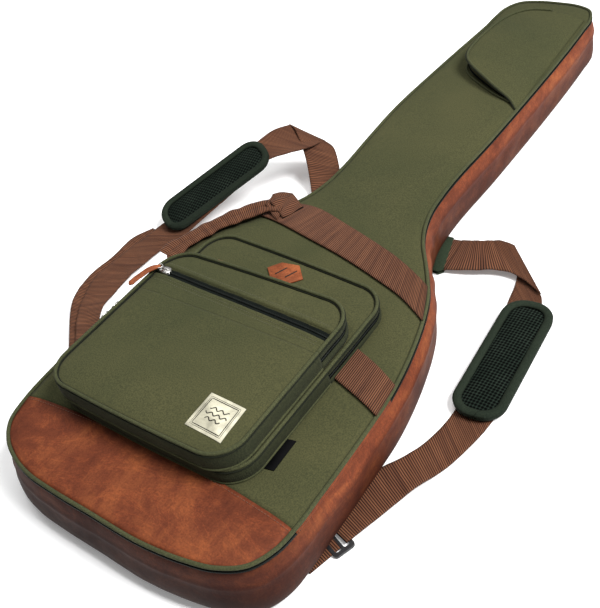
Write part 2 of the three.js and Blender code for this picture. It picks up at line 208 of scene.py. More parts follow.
def canvas_look(name, dark, light, thread=0.0012, sheen=0.02):
    """Dense plain-weave canvas."""
    look = Look(name, roughness=0.86, sheen=sheen, sheen_roughness=0.5, specular=0.1)
    place = look.place()
    weave = look.maths("MAXIMUM", look.bands(place, thread, "X", 0.3),
                       look.bands(place, thread, "Y", 0.3))
    patches = look.noise(place, 7, 5, 0.6)
    grain = look.noise(place, 700, 2)
    base = look.ramp(patches, (0.32, dark), (0.68, light))
    worn = look.mix(look.ramp(grain, (0.36, grey(0)), (0.64, grey(1))),
                    rgb(0.76, 0.78, 0.77), rgb(1.2, 1.18, 1.12))
    speckled = look.times(base, worn)
    shade = look.ramp(weave, (0.0, rgb(0.62, 0.64, 0.64)), (0.6, grey(1)))
    look.color(look.times(speckled, shade))
    look.roughness(grain, 0.78, 0.94)
    look.bump(look.noise(place, 22, 3, 0.4), 0.45, 2.0)
    look.bump(weave, 0.45, 0.35)
    return look.material


def leather_look(name, dark, middle, light, scale=1.0, gloss=0.62, wall=False):
    """Waxed suede with lighter, rubbed patches and fine creases. With wall set, painted shade
    darkens the lower wall and the wall towards the toe.
    """
    look = Look(name, roughness=0.7, specular=0.16)
    place = look.place()
    drag = look.stretched(place, (1.0, 0.62, 1.4))
    clouds = look.noise(drag, 13 * scale, 6, 0.9, 0.6)
    spots = look.noise(place, 60 * scale, 5, 0.4, 0.65)
    nap = look.noise(place, 520, 3)
    streaks = look.noise(look.stretched(place, (60, 9, 60)), 1.6 * scale, 4, 1.4)
    blend = look.maths("ADD", look.maths("MULTIPLY", clouds, 0.62),
                       look.maths("MULTIPLY", spots, 0.28))
    blend = look.maths("ADD", blend, look.maths("MULTIPLY", streaks, 0.12))
    tone = look.ramp(blend, (0.36, dark), (0.5, middle), (0.62, light))
    veins = look.noise(look.stretched(place, (1.0, 2.2, 1.0)), 8 * scale, 8, 2.2, 0.7)
    lines = look.ramp(veins, (0.475, grey(1)), (0.5, rgb(1.32, 1.3, 1.2)),
                      (0.525, grey(1)))
    tone = look.times(tone, lines)
    fine = look.ramp(nap, (0.3, grey(0.82)), (0.7, grey(1.14)))
    tone = look.times(tone, fine)
    if wall:
        # Painted shade: the wall grows darker low down, where it turns away from the light.
        part = look.node("ShaderNodeSeparateXYZ", {"Vector": place}).outputs
        height = look.maths("MULTIPLY", part["Z"], 10.0)
        painted_low_shade = look.ramp(height, (0.02, rgb(0.2, 0.18, 0.18)), (0.36, rgb(0.42, 0.38, 0.37)),
                          (0.46, rgb(0.55, 0.5, 0.49)), (0.5, rgb(0.84, 0.82, 0.82)))
        # Painted shade: the wall also grows darker towards the toe end, which faces away from the
        # key light.
        toe = look.ramp(look.maths("ADD", look.maths("MULTIPLY", part["Y"], 3.0), 1.6),
                        (0.05, rgb(0.3, 0.27, 0.27)), (0.45, grey(1)))
        tone = look.times(look.times(tone, painted_low_shade), toe)
    look.color(tone)
    look.roughness(clouds, gloss + 0.2, gloss)
    look.bump(look.noise(drag, 34 * scale, 4, 0.6), 0.4, 1.5)
    look.bump(spots, 0.3, 0.5)
    look.bump(nap, 0.35, 0.2)
    return look.material


def webbing_look():
    """Ribbed polypropylene webbing: ribs across the strip, fine warp threads along it. Its colour
    carries painted shade in the grooves and a painted highlight on the ribs.
    """
    look = Look("ribbed_webbing", roughness=0.76, sheen=0.02, sheen_roughness=0.5, specular=0.18)
    strip = look.along()
    ribs = look.bands(strip, 0.0025, "Y", 0.5)
    threads = look.bands(strip, 0.0015, "X", 0.2)
    worn = look.noise(look.stretched(strip, (12, 150, 1)), 1.0, 4, 0.5)
    base = look.ramp(worn, (0.3, rgb(0.068, 0.0255, 0.0134)), (0.7, rgb(0.128, 0.052, 0.0262)))
    # Painted shade between the ribs and a painted highlight on their crests.
    shade = look.ramp(ribs, (0.12, rgb(0.17, 0.16, 0.16)), (0.6, rgb(1.5, 1.48, 1.42)))
    color = look.times(base, shade)
    warp = look.ramp(threads, (0.0, grey(0.8)), (0.6, grey(1.04)))
    look.color(look.times(color, warp))
    look.bump(ribs, 0.8, 0.8)
    look.bump(threads, 0.4, 0.25)
    return look.material


def mesh_look():
    """Open spacer mesh over dark foam."""
    look = Look("spacer_mesh", roughness=0.9, specular=0.05)
    place = look.place()
    cells = look.node("ShaderNodeTexVoronoi", {"Vector": place, "Scale": 265.0,
                                               "Randomness": 0.1}, voronoi_dimensions="2D")
    cells = cells.outputs["Distance"]
    patches = look.noise(place, 30, 3)
    base = look.ramp(patches, (0.3, rgb(0.0036, 0.0058, 0.0042)),
                     (0.7, rgb(0.0064, 0.0092, 0.0068)))
    holes = look.ramp(cells, (0.3, grey(0.1)), (0.62, grey(3.4)))
    look.color(look.times(base, holes))
    look.bump(cells, 0.9, 1.0)
    return look.material


def tape_look(name, color, roughness=0.75, specular=0.15):
    """Woven zip tape, hook tape or a plain label ground."""
    look = Look(name, roughness=roughness, specular=specular)
    place = look.place()
    weave = look.maths("MULTIPLY", look.bands(place, 0.0007, "X", 0.3),
                       look.bands(place, 0.0007, "Y", 0.3))
    dust = look.noise(place, 70, 4, 0.3)
    low, high = shades(color, 0.72, 1.28)
    look.color(look.ramp(dust, (0.3, low), (0.7, high)))
    look.roughness(dust, roughness - 0.1, roughness + 0.12)
    look.bump(weave, 0.4, 0.2)
    return look.material


def metal_look():
    """Polished nickel with light handling marks."""
    look = Look("nickel", roughness=0.25, metallic=1.0)
    place = look.place()
    marks = look.noise(look.stretched(place, (300, 60, 300)), 3, 4, 0.6)
    tone = look.noise(place, 160, 3)
    look.color(look.ramp(tone, (0.3, rgb(0.5, 0.49, 0.47)), (0.7, rgb(0.78, 0.77, 0.74))))
    look.roughness(marks, 0.18, 0.42)
    look.bump(marks, 0.15, 0.05)
    return look.material


def plastic_look(name, color, roughness, specular=0.4):
    """Moulded plastic or rubber with a fine spark texture."""
    look = Look(name, roughness=roughness, specular=specular)
    place = look.place()
    spark = look.noise(place, 1400, 2)
    wear = look.noise(place, 90, 4, 0.5)
    low, high = shades(color, 0.75, 1.6)
    look.color(look.ramp(wear, (0.35, low), (0.75, high)))
    look.roughness(wear, roughness - 0.08, roughness + 0.14)
    look.bump(spark, 0.3, 0.12)
    return look.material


def plush_look():
    """Short dense plush."""
    look = Look("plush", roughness=0.95, sheen=0.6, sheen_roughness=0.5)
    place = look.place()
    tufts = look.noise(place, 260, 4, 0.8)
    brushed = look.noise(place, 14, 4, 1.2)
    base = look.ramp(brushed, (0.3, rgb(0.022, 0.018, 0.014)), (0.7, rgb(0.05, 0.042, 0.033)))
    fine = look.ramp(tufts, (0.3, grey(0.7)), (0.7, grey(1.25)))
    look.color(look.times(base, fine))
    look.bump(tufts, 0.8, 0.9)
    return look.material


def thread_look(name, color):
    """Twisted sewing thread."""
    look = Look(name, roughness=0.6, sheen=0.1)
    twist = look.bands(look.place(), 0.0006, "DIAGONAL", 0.0)
    look.color(look.ramp(twist, (0.2, shades(color, 0.7, 1)[0]), (0.7, color)))
    look.bump(twist, 0.4, 0.1)
    return look.material


def floor_look():
    """A pale floor, lifted a little so that it stays white away from the lights."""
    look = Look("studio_floor", roughness=0.9, specular=0.1)
    tone = look.noise(look.place(), 3, 2)
    look.color(look.ramp(tone, (0.3, grey(0.93)), (0.7, grey(0.95))))
    look.shader.inputs["Emission Color"].default_value = grey(1)
    look.shader.inputs["Emission Strength"].default_value = 0.16
    return look.material


CANVAS = canvas_look("olive_canvas", rgb(0.0435, 0.0465, 0.0205), rgb(0.059, 0.0585, 0.0255))
# Pocket wall canvas: the olive canvas darkened as painted shade, for walls turned away from the
# light.
PAINTED_SHADE_CANVAS = canvas_look("painted_shade_canvas", rgb(0.019, 0.023, 0.012), rgb(0.029, 0.032, 0.016))
PIPING = canvas_look("olive_piping", rgb(0.042, 0.047, 0.022), rgb(0.057, 0.06, 0.028), 0.0009)
# Near-black cords laid beside piping: painted shadow lines, not a real binding.
PAINTED_SHADOW_CORD = canvas_look("painted_shadow_cord", rgb(0.008, 0.01, 0.006), rgb(0.013, 0.015, 0.009))
TAB_CANVAS = canvas_look("green_canvas", rgb(0.018, 0.028, 0.016), rgb(0.03, 0.042, 0.024))
PAD_CANVAS = canvas_look("pad_binding", rgb(0.009, 0.0135, 0.009), rgb(0.0175, 0.025, 0.0165),
                         0.001, 0.0)
SUEDE = leather_look("waxed_suede", rgb(0.066, 0.0148, 0.0062), rgb(0.115, 0.0275, 0.0104),
                     rgb(0.185, 0.05, 0.0165))
# Side wall suede, with painted shade low on the wall and towards the toe.
WALL_SUEDE_PAINTED_SHADE = leather_look("side_suede_painted_shade", rgb(0.1, 0.023, 0.009), rgb(0.165, 0.04, 0.0145),
                          rgb(0.25, 0.07, 0.022), 1.3, wall=True)
TAN = leather_look("tan_leather", rgb(0.13, 0.034, 0.012), rgb(0.2, 0.054, 0.019),
                   rgb(0.27, 0.08, 0.028), 2.5, 0.55)
WEBBING = webbing_look()
PAD_MESH = mesh_look()
ZIP_TAPE = tape_look("zip_tape", rgb(0.0055, 0.007, 0.006), 0.85, 0.04)
ZIP_COIL = plastic_look("zip_coil", rgb(0.0045, 0.006, 0.005), 0.45, 0.14)
HOOK_TAPE = tape_look("hook_tape", grey(0.012), 0.85)
LABEL = tape_look("label_cream", rgb(0.5, 0.475, 0.36))
LABEL_INK = tape_look("label_ink", rgb(0.02, 0.018, 0.016))
BLACK_TAG = tape_look("tag_black", rgb(0.003, 0.003, 0.0032), 0.8, 0.04)
NICKEL = metal_look()
BUCKLE = plastic_look("buckle_plastic", rgb(0.012, 0.012, 0.013), 0.38)
RUBBER = plastic_look("foam_rubber", grey(0.014), 0.82)
PLUSH = plush_look()
OLIVE_THREAD = thread_look("olive_thread", rgb(0.085, 0.082, 0.042))
BROWN_THREAD = thread_look("brown_thread", rgb(0.16, 0.062, 0.03))


# ---------------------------------------------------------------- mesh helpers

def add_object(name, data):
    obj = bpy.data.objects.new(name, data)
    bpy.context.scene.collection.objects.link(obj)
    return obj


def make(name, verts, faces, material, strip=None):
    """A smooth mesh from points in the bag's plan. strip gives each face corner's place."""
    mesh = bpy.data.meshes.new(name)
    mesh.from_pydata([row(v) for v in verts], [], faces)
    mesh.materials.append(material)
    mesh.polygons.foreach_set("use_smooth", [True] * len(mesh.polygons))
    if strip:
        layer = mesh.uv_layers.new(name="strip")
        layer.data.foreach_set("uv", [c * MM for corner in strip for c in corner])
    mesh.update()
    return add_object(name, mesh)


def grid(name, rows, material, wrap=False, loop=False, across=None, along=None, caps=False):
    """Quads through rows of points. wrap closes each row, loop joins the last row to the first."""
    wide = len(rows[0])
    verts = [p for line in rows for p in line]
    faces = []
    strip = []
    for i in range(len(rows) - (not loop)):
        for j in range(wide - (not wrap)):
            k = (i + 1) % len(rows)
            n = (j + 1) % wide
            faces.append((i * wide + j, i * wide + n, k * wide + n, k * wide + j))
            if across:
                strip += [(across[j], along[i]), (across[j + 1], along[i]),
                          (across[j + 1], along[i + 1]), (across[j], along[i + 1])]
    if caps:
        last = (len(rows) - 1) * wide
        faces.append(tuple(range(wide - 1, -1, -1)))
        faces.append(tuple(range(last, last + wide)))
        if across:
            strip += [(across[j], along[0]) for j in range(wide - 1, -1, -1)]
            strip += [(across[j], along[-1]) for j in range(wide)]
    return make(name, verts, faces, material, strip if across else None)


def settle(obj):
    """Applies the object's modifiers."""
    bpy.context.view_layer.update()
    graph = bpy.context.evaluated_depsgraph_get()
    mesh = bpy.data.meshes.new_from_object(obj.evaluated_get(graph))
    obj.modifiers.clear()
    obj.data = mesh
    return obj


def modify(obj, kind, **settings):
    """Adds a modifier."""
    made = obj.modifiers.new(kind.lower(), kind)
    for key, value in settings.items():
        setattr(made, key, value)
    return made


def thicken(obj, thickness):
    """Gives a surface a thickness below it, closed all round."""
    modify(obj, "SOLIDIFY", thickness=thickness * MM, offset=-1.0, use_even_offset=False)
    return settle(obj)


def join(name, pieces):
    """Makes one piece of several."""
    first = pieces[0]
    with bpy.context.temp_override(active_object=first, object=first,
                                   selected_objects=pieces, selected_editable_objects=pieces):
        bpy.ops.object.join()
    first.name = name
    first.data.name = name
    return first


def stand_in(obj, slot, nodes):
    """Hides the CAD nodes that a piece stands for; its slot is not used."""
    if nodes:
        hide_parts(*nodes)
    return obj


def dress(obj, body, slot, *nodes):
    """Puts a piece on one body."""
    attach(obj, body)
    return stand_in(obj, slot, nodes)


def bend(obj, bodies, start, end, slot, *nodes):
    """For fabric that crosses the joint between two bodies: bakes its place into its mesh and hides
    the nodes it stands for.
    """
    row(start)
    row(end)
    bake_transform(obj)
    return stand_in(obj, slot, nodes)


def lerp(a, b, t):
    return a + (b - a) * t


def ease(t):
    t = min(1.0, max(0.0, t))
    return t * t * (3 - 2 * t)


def hump(x, centre, reach):
    """1 at the centre, falling smoothly to 0 at that reach on either side."""
    return 1 - ease(abs(x - centre) / reach)


def wave(x, y, size, seed=0.0):
    """Smooth noise from about -1 to 1, with bumps of that size."""
    return noise.noise(Vector((x / size, y / size, seed)))


def lengths(points, closed=False):
    """The distance along a line of points, at each of them."""
    total = [0.0]
    ends = list(points[1:]) + ([points[0]] if closed else [])
    for a, b in zip(points, ends):
        total.append(total[-1] + (b - a).length)
    return total


def resample(points, step, closed=False):
    """The same line with evenly spaced points, about that far apart."""
    total = lengths(points, closed)
    count = max(2, round(total[-1] / step))
    chain = list(points) + ([points[0]] if closed else [])
    out = []
    i = 0
    for k in range(count if closed else count + 1):
        goal = total[-1] * k / count
        while i < len(chain) - 2 and total[i + 1] < goal:
            i += 1
        span = total[i + 1] - total[i]
        out.append(chain[i].lerp(chain[i + 1], (goal - total[i]) / span if span else 0.0))
    return out


def curve(controls, step, closed=False):
    """A smooth curve through a few points, given as evenly spaced points."""
    pts = [Vector(c) for c in controls]
    count = len(pts)
    fine = []
    for i in range(count if closed else count - 1):
        if closed:
            p0, p1, p2, p3 = (pts[(i + k - 1) % count] for k in range(4))
        else:
            p1, p2 = pts[i], pts[i + 1]
            p0 = pts[i - 1] if i else p1 * 2 - p2
            p3 = pts[i + 2] if i + 2 < count else p2 * 2 - p1
        for k in range(12):
            t = k / 12
            fine.append(0.5 * (2 * p1 + (p2 - p0) * t + (2 * p0 - 5 * p1 + 4 * p2 - p3) * t * t
                               + (3 * p1 - p0 - 3 * p2 + p3) * t ** 3))
    if not closed:
        fine.append(pts[-1])
    return resample(fine, step, closed)


def headings(path, closed):
    """The unit vector along a path, at each of its points."""
    last = len(path) - 1
    if closed:
        ends = [(path[i - 1], path[(i + 1) % len(path)]) for i in range(len(path))]
    else:
        ends = [(path[max(i - 1, 0)], path[min(i + 1, last)]) for i in range(len(path))]
    return [(b - a).normalized() for a, b in ends]


def outward(path, closed=True):
    """The unit vector that points to the right of the way along a flat path, at each point."""
    return [Vector((way.y, -way.x, 0)) for way in headings(at_height(path, 0), closed)]


def offset(path, distance, closed=True):
    return [p + n * distance for p, n in zip(path, outward(path, closed))]


def at_height(path, z):
    return [Vector((p.x, p.y, z)) for p in path]


def laid(path, height, lift=0.0):
    """A flat path laid on a surface, or that much above it."""
    return [Vector((p.x, p.y, height(p.x, p.y) + lift)) for p in path]


def edged(corners, count):
    """The closed outline through some corners, in that many steps to a side."""
    points = []
    for a, b in zip(corners, corners[1:] + corners[:1]):
        points += [a.lerp(b, k / count) for k in range(count)]
    return points


def rounded_box(x0, y0, x1, y1, inset, radius, steps):
    """A box whose corners turn, in that radius, about centres set in from its sides."""
    points = []
    for x, y, start in ((x1 - inset, y0 + inset, -90), (x1 - inset, y1 - inset, 0),
                        (x0 + inset, y1 - inset, 90), (x0 + inset, y0 + inset, 180)):
        for k in range(steps + 1):
            turn = math.radians(start + 90 * k / steps)
            points.append(Vector((x + radius * math.cos(turn), y + radius * math.sin(turn), 0)))
    return points


def frames(path, closed=False, least=0.0):
    """Each point of a path, with the ways along it, across it and up from it.

    Where the path is so steep that the way across is shorter than least, across is y.
    """
    out = []
    for p, way in zip(path, headings(path, closed)):
        side = way.cross(UP)
        side = side.normalized() if side.length > least else Vector((0, 1, 0))
        out.append((p, way, side, side.cross(way)))
    return out


def loft(name, path, section, material, closed=True, warp=None):
    """Sweeps a section of (outward, height) pairs along a flat path.

    warp(point, height) says how much further out a point stands.
    """
    normals = outward(path, closed)
    rows = []
    for out, z in section:
        line = []
        for p, n in zip(path, normals):
            push = warp(p, z) if warp else 0.0
            line.append(Vector((p.x, p.y, z)) + n * (out + push))
        rows.append(line)
    return grid(name, rows, material, wrap=closed)


def tube(name, path, radius, material, closed=False, sides=8, flat=1.0):
    """A round cord along a path. flat squashes it in height."""
    turns = [-2 * math.pi * k / sides for k in range(sides)]
    rows = [[p + (side * math.cos(t) + rise * math.sin(t) * flat) * radius for t in turns]
            for p, _, side, rise in frames(path, closed)]
    return grid(name, rows, material, wrap=True, loop=closed, caps=not closed)


def coons(bottom, right, top, left, wide, tall):
    """Rows of flat points that fill four edges, each a line of points from left or from below."""
    def spread(points, count):
        return share_out(resample(points, 1.0), count)
    b, t = spread(bottom, wide), spread(top, wide)
    l, r = spread(left, tall), spread(right, tall)
    rows = []
    for i in range(tall + 1):
        v = i / tall
        line = []
        for j in range(wide + 1):
            u = j / wide
            edges = b[j] * (1 - v) + t[j] * v + l[i] * (1 - u) + r[i] * u
            corners = (b[0] * (1 - u) + b[-1] * u) * (1 - v) + (t[0] * (1 - u) + t[-1] * u) * v
            line.append(edges - corners)
        rows.append(line)
    return rows


def stitches(name, path, material, pitch, length, radius):
    """A row of stitches along a path."""
    line = resample(path, pitch)
    verts = []
    faces = []
    for i, p in enumerate(line):
        q = line[i + 1] if i + 1 < len(line) else p * 2 - line[i - 1]
        way = (q - p).normalized()
        side = way.cross(UP).normalized()
        base = len(verts)
        for t, swell in ((-0.5, 0.35), (-0.25, 1.0), (0.25, 1.0), (0.5, 0.35)):
            for k in range(6):
                turn = -2 * math.pi * k / 6
                spoke = side * math.cos(turn) + UP * math.sin(turn) * 0.8
                verts.append(p + way * length * t + spoke * radius * swell)
        for ring in range(3):
            for k in range(6):
                a = base + ring * 6 + k
                b = base + ring * 6 + (k + 1) % 6
                faces.append((a, b, b + 6, a + 6))
        faces.append(tuple(base + k for k in range(5, -1, -1)))
        faces.append(tuple(base + 18 + k for k in range(6)))
    return make(name, verts, faces, material)


def teeth(name, path, material, pitch, wide, tall):
    """The interlocked coil of a closed zip: small ribs across its line."""
    line = resample(path, pitch / 2)
    rows = []
    for i, (p, n) in enumerate(zip(line, outward(line, False))):
        swell = 1.0 if i % 2 else 0.62
        half = wide / 2 * swell
        rows.append([p - n * half, p - n * half * 0.6 + UP * tall * swell * 0.8,
                     p + UP * tall * swell, p + n * half * 0.6 + UP * tall * swell * 0.8,
                     p + n * half])
    return grid(name, rows, material, wrap=True, caps=True)


def slab(name, outline, z0, z1, material, bevel=0.3, height=None):
    """A flat patch with softened rims. height(x, y) is added to both faces."""
    centre = sum(outline, Vector((0, 0, 0))) / len(outline)
    height = height or (lambda x, y: 0.0)
    inner = [p + (centre - p).normalized() * bevel for p in outline]
    rows = [laid(ring, height, z) for ring, z in
            ((inner, z0), (outline, z0 + bevel), (outline, z1 - bevel), (inner, z1))]
    return grid(name, rows, material, wrap=True, caps=True)


def ribbon(name, first, second, width, material=None, thickness=1.7, step=3.5, sides=12,
           shape=None):
    """Webbing between two edges. Both edges are curves through a few points, from the same end.

    shape(across, along, point) may move a point; across and along run from 0 to 1.
    """
    a, b = curve(first, 1.0), curve(second, 1.0)
    length = (lengths(a)[-1] + lengths(b)[-1]) / 2
    count = max(4, round(length / step))
    a, b = share_out(a, count), share_out(b, count)
    rows = []
    for i in range(count + 1):
        line = [b[i].lerp(a[i], k / sides) for k in range(sides + 1)]
        if shape:
            line = [shape(k / sides, i / count, p) for k, p in enumerate(line)]
        rows.append(line)
    across = [width * k / sides for k in range(sides + 1)]
    along = [length * i / count for i in range(count + 1)]
    strip = grid(name, rows, material or WEBBING, across=across, along=along)
    return thicken(strip, thickness)


def share_out(line, count):
    """That many equal steps along a line of evenly spaced points."""
    last = len(line) - 1
    out = []
    for k in range(count + 1):
        t = last * k / count
        i = min(int(t), last - 1)
        out.append(line[i].lerp(line[i + 1], t - i))
    return out


def polygon(points):
    return [Vector((x, y, 0)) for x, y in points]


# ---------------------------------------------------------------- outline of the bag

def find_outline():
    """The bag's outline, from the outer face of the side wall, as evenly spaced points."""
    node = frame["nodes"]["side_wall"]
    tree = BVHTree.FromPolygons([v.co for v in node.data.vertices],
                                [tuple(p.vertices) for p in node.data.polygons])
    level = (WALL_LOW + WALL_TOP) / 2 * MM
    corners = {}
    for v in node.data.vertices:
        angle = math.atan2(v.co.y, v.co.x)
        way = Vector((math.cos(angle), math.sin(angle), 0))
        hit = tree.ray_cast(Vector((0, 0, level)) + way, -way)[0]
        if (Vector((v.co.x, v.co.y)) - Vector((hit.x, hit.y))).length < 0.4 * MM:
            corners[round(angle, 4)] = Vector((v.co.x / MM, v.co.y / MM - END_Y, 0))
    ordered = [corners[angle] for angle in sorted(corners)]
    kept = [p for i, p in enumerate(ordered) if (p - ordered[i - 1]).length > 4]
    return curve(kept, 3.0, closed=True)


OUTLINE = find_outline()


def tree_of(path):
    tree = kdtree.KDTree(len(path))
    for i, p in enumerate(path):
        tree.insert((p.x, p.y, 0), i)
    tree.balance()
    return tree


def nearest(path, x, y):
    """The index of the point of a path that is nearest to a place."""
    return min(range(len(path)), key=lambda i: (path[i].x - x) ** 2 + (path[i].y - y) ** 2)


def stretch(path, start, end):
    """The part of a closed path from one index on to another."""
    count = len(path)
    return [path[(start + k) % count] for k in range((end - start) % count + 1)]


def four_edges(ring, corners):
    """A closed outline cut near four places: its bottom, right, top and left edges."""
    bl, br, tr, tl = (nearest(ring, *c) for c in corners)
    return (stretch(ring, bl, br), stretch(ring, br, tr), stretch(ring, tr, tl)[::-1],
            stretch(ring, tl, bl)[::-1])


LID_EDGE = offset(OUTLINE, -5.2)
lid_tree = tree_of(LID_EDGE)
EDGE_Z = PANEL_TOP - 2.4
LID_RISE = 3.2


def lid_height(x, y):
    """The top of the padded lid."""
    inside = lid_tree.find((x, y, 0))[2]
    fullness = 1 - math.exp(-inside / 13)
    swell = 0.9 * wave(x, y, 150, 3.0) + 0.45 * wave(x, y, 52, 9.0)
    return EDGE_Z + LID_RISE * fullness + swell * min(1.0, inside / 30)


# ---------------------------------------------------------------- back half

def wall_warp(p, z):
    """Bulges, long folds and waist creases of the side wall, and the stuffed toe."""
    s = wave(p.x, p.y, 90, z / 40)
    fine = wave(p.x, p.y, 26, z / 18)
    body = math.sin(math.pi * min(1.0, max(0.0, (z - 4) / 60)))
    waist = hump(p.y, 475, 110) * (1 if p.x > 0 else 0.6)
    creases = math.sin(p.y / 4.4 + z / 15 + 2.6 * s) * waist
    neck = math.sin(p.y / 9 - z / 9 + 3 * s) * hump(p.y, 700, 200) * 0.5
    sag = -1.6 * hump(z, 26, 22) * (0.5 + 0.5 * wave(p.x, p.y, 140, 7.0))
    toe = 7.5 * hump(z, 19, 32) * ease((95 - p.y) / 80)
    return body * (1.3 * s + 0.6 * fine + 1.2 * creases + neck) + sag + toe


def add_side_wall():
    section = [(-9, 2.2), (-5, 2.6), (-1.8, 4.6), (0.2, 8.5), (1.2, 14), (1.7, 20), (2.0, 26),
               (2.2, 32), (2.2, 37), (2.4, 40.6), (2.9, 43.0), (3.1, 44.6), (2.7, 46.4),
               (1.8, 50.0), (0.7, 54.0), (-0.5, 57.6), (-1.9, 60.6), (-3.2, 62.8),
               (-4.6, 64.1), (-6.4, 64.6), (-9.4, 64.2)]
    wall = loft("side_wall_leather", OUTLINE, section, WALL_SUEDE_PAINTED_SHADE, warp=wall_warp)
    thicken(wall, 1.6)
    dress(wall, "back_half", "leather", "side_wall")


def add_back_panel():
    """The back, rolled up along its edge. Its rows run backward, so that it faces down."""
    ring = offset(OUTLINE, -3.0)
    tree = tree_of(ring)

    def under(x, y):
        inside = tree.find((x, y, 0))[2]
        roll = 3.4 * math.exp(-inside / 4.5)
        return 0.9 + roll + 0.5 * abs(wave(x, y, 70, 4.0)) * min(1, inside / 40)
    rows = [laid(line, under)[::-1] for line in outline_rows(ring, 44, 110)]
    panel = grid("back_panel_canvas", rows, CANVAS)
    thicken(panel, 2.4)
    dress(panel, "back_half", "canvas", "back_panel")


# Where the toe seam meets the bag's left and right edges, and how far it bows up between them.
TOE_SEAM = (78, 82)
SEAM_BOW = 11.0


def outline_rows(ring, wide, tall, part=None):
    """Fills an outline with rows of points. part is toe or body, for one side of the toe seam."""
    bottom, right, top, left = four_edges(ring, [(-160, 30), (172, 30), (70, 1028), (-65, 1030)])
    if part:
        left, right = seamed(left, TOE_SEAM[0], part), seamed(right, TOE_SEAM[1], part)
    if part == "toe":
        top = seam_line(left[-1], right[-1])
    if part == "body":
        bottom = seam_line(left[0], right[0])
    return coons(bottom, right, top, left, wide, tall)


def seamed(side, y, part):
    """A side edge of the bag cut at the seam's height."""
    cut = min(range(len(side)), key=lambda i: abs(side[i].y - y))
    a, b = next(pair for pair in zip(side, side[1:]) if pair[0].y <= y <= pair[1].y)
    seam = a.lerp(b, (y - a.y) / (b.y - a.y))
    return side[:cut] + [seam] if part == "toe" else [seam] + side[cut + 1:]


def seam_line(a, b):
    """The seam between the canvas and the leather toe, bowed up in the middle."""
    return [a.lerp(b, t) + Vector((0, SEAM_BOW * math.sin(math.pi * t) ** 0.8, 0))
            for t in (k / 40 for k in range(41))]


def hinge_stretch(y0, y1):
    """The outline, anticlockwise, between two heights on the hinge side."""
    return stretch(OUTLINE, nearest(OUTLINE, HINGE_X, y0), nearest(OUTLINE, HINGE_X, y1))


def add_main_zip():
    """Both tapes and the coil, left off along the hinge, and the strip of leather there."""
    line = hinge_stretch(HINGE_Y1, HINGE_Y0)
    low = loft("main_zip_lower_tape", line,
               [(-6.5, 64.0), (-3.2, 64.9), (-2.0, 65.4), (-2.4, 65.9), (-6.5, 65.4)],
               ZIP_TAPE, closed=False)
    dress(low, "back_half", "zip", "main_zip_lower")
    chain = at_height(offset(line, -1.9, closed=False), 65.3)
    dress(teeth("main_zip_coil", chain, ZIP_COIL, 2.6, 2.6, 1.2), "back_half", "zip")
    high = loft("main_zip_upper_tape", line,
                [(-7.0, 66.6), (-3.2, 66.6), (-2.0, 66.9), (-3.4, 67.8), (-5.0, 69.0),
                 (-7.0, 69.2)], ZIP_TAPE, closed=False)
    dress(high, "lid", "zip", "main_zip_upper")
    strip = loft("lid_hinge_gusset", hinge_stretch(HINGE_Y0 - 6, HINGE_Y1 + 6),
                 [(-3.6, 62.6), (-1.4, 64.2), (-0.9, 65.6), (-1.2, 67.2), (-3.0, 68.8)],
                 WALL_SUEDE_PAINTED_SHADE, closed=False)
    thicken(strip, 1.0)
    bend(strip, ("back_half", "lid"), (HINGE_X, 166, 64.3), (HINGE_X, 166, 68.4), "leather",
         "lid_hinge_strip")


# ---------------------------------------------------------------- lid

def add_lid():
    piping = tube("lid_piping_cord", at_height(offset(OUTLINE, -3.2), PIPING_TOP - PIPING_R - 0.5),
                  PIPING_R, PIPING, closed=True, sides=12)
    dress(piping, "lid", "piping", "lid_piping")
    toe_rows = outline_rows(LID_EDGE, 60, 18, "toe")
    toe = grid("leather_toe_panel", [laid(line, lid_height, 0.5) for line in toe_rows], SUEDE)
    body_rows = outline_rows(LID_EDGE, 60, 190, "body")
    front = grid("front_panel_canvas", [laid(line, lid_height) for line in body_rows], CANVAS)
    for panel, slot, node in ((toe, "leather", "leather_toe"), (front, "canvas", "front_panel")):
        dress(thicken(panel, 2.0), "lid", slot, node)
    seam = laid([p - Vector((0, 3.4, 0)) for p in toe_rows[-1]], lid_height, 0.75)
    dress(stitches("toe_seam_stitching", seam, BROWN_THREAD, 3.8, 2.6, 0.38), "lid", "leather")


def lid_edge_x(y):
    """Where the right edge of the lid is at that y."""
    right = [p for p in LID_EDGE if p.x > 0]
    return min(right, key=lambda p: abs(p.y - y)).x


def on_lid(across, along, p):
    """Moves a point of a ribbon onto the lid."""
    return Vector((p.x, p.y, lid_height(p.x, p.y) + 1.7))


def add_waist_webbing():
    """The waist band, the short band below it and the band's sewn end, laid on the lid."""
    past_edge = 2.6
    waist_edges = ([(-97, 470), (-52, 470), (4, 454), (58, 437), (91, 425), (127, 408)],
                   [(-119, 434), (-79, 427), (-30, 416), (23, 404), (74, 389), (123, 372)])
    side_edges = [(B.x1 - 2, 287), (154, 276)], [(B.x1 - 2, 243), (158, 232)]
    for name, node, edges, ends in (("waist_band_webbing", "waist_band", waist_edges, (399, 351)),
                                    ("side_webbing_band", "side_webbing", side_edges, (262, 221))):
        edges = [polygon(edge + [(lid_edge_x(y) + past_edge, y)]) for edge, y in zip(edges, ends)]
        band = ribbon(name, *edges, 40, step=4, shape=on_lid)
        dress(band, "lid", "webbing", node)
    a, b, c, d = (-92, 437), (-66, 431), (-62, 462), (-89, 469)
    rows = [stitches("cross", laid(resample(polygon(path), 2.0), lid_height, 2.0), BROWN_THREAD,
                     3.0, 2.2, 0.35) for path in ((a, b, c, d, a), (a, c), (b, d))]
    dress(join("waist_band_cross_stitching", rows), "lid", "webbing")
    tag = slab("side_tag_woven", polygon([(127, 121), (137, 123), (136, 161), (126, 159)]),
               0.2, 1.2, BLACK_TAG, 0.3, height=lid_height)
    dress(tag, "lid", "black_tag", "blank_tag")


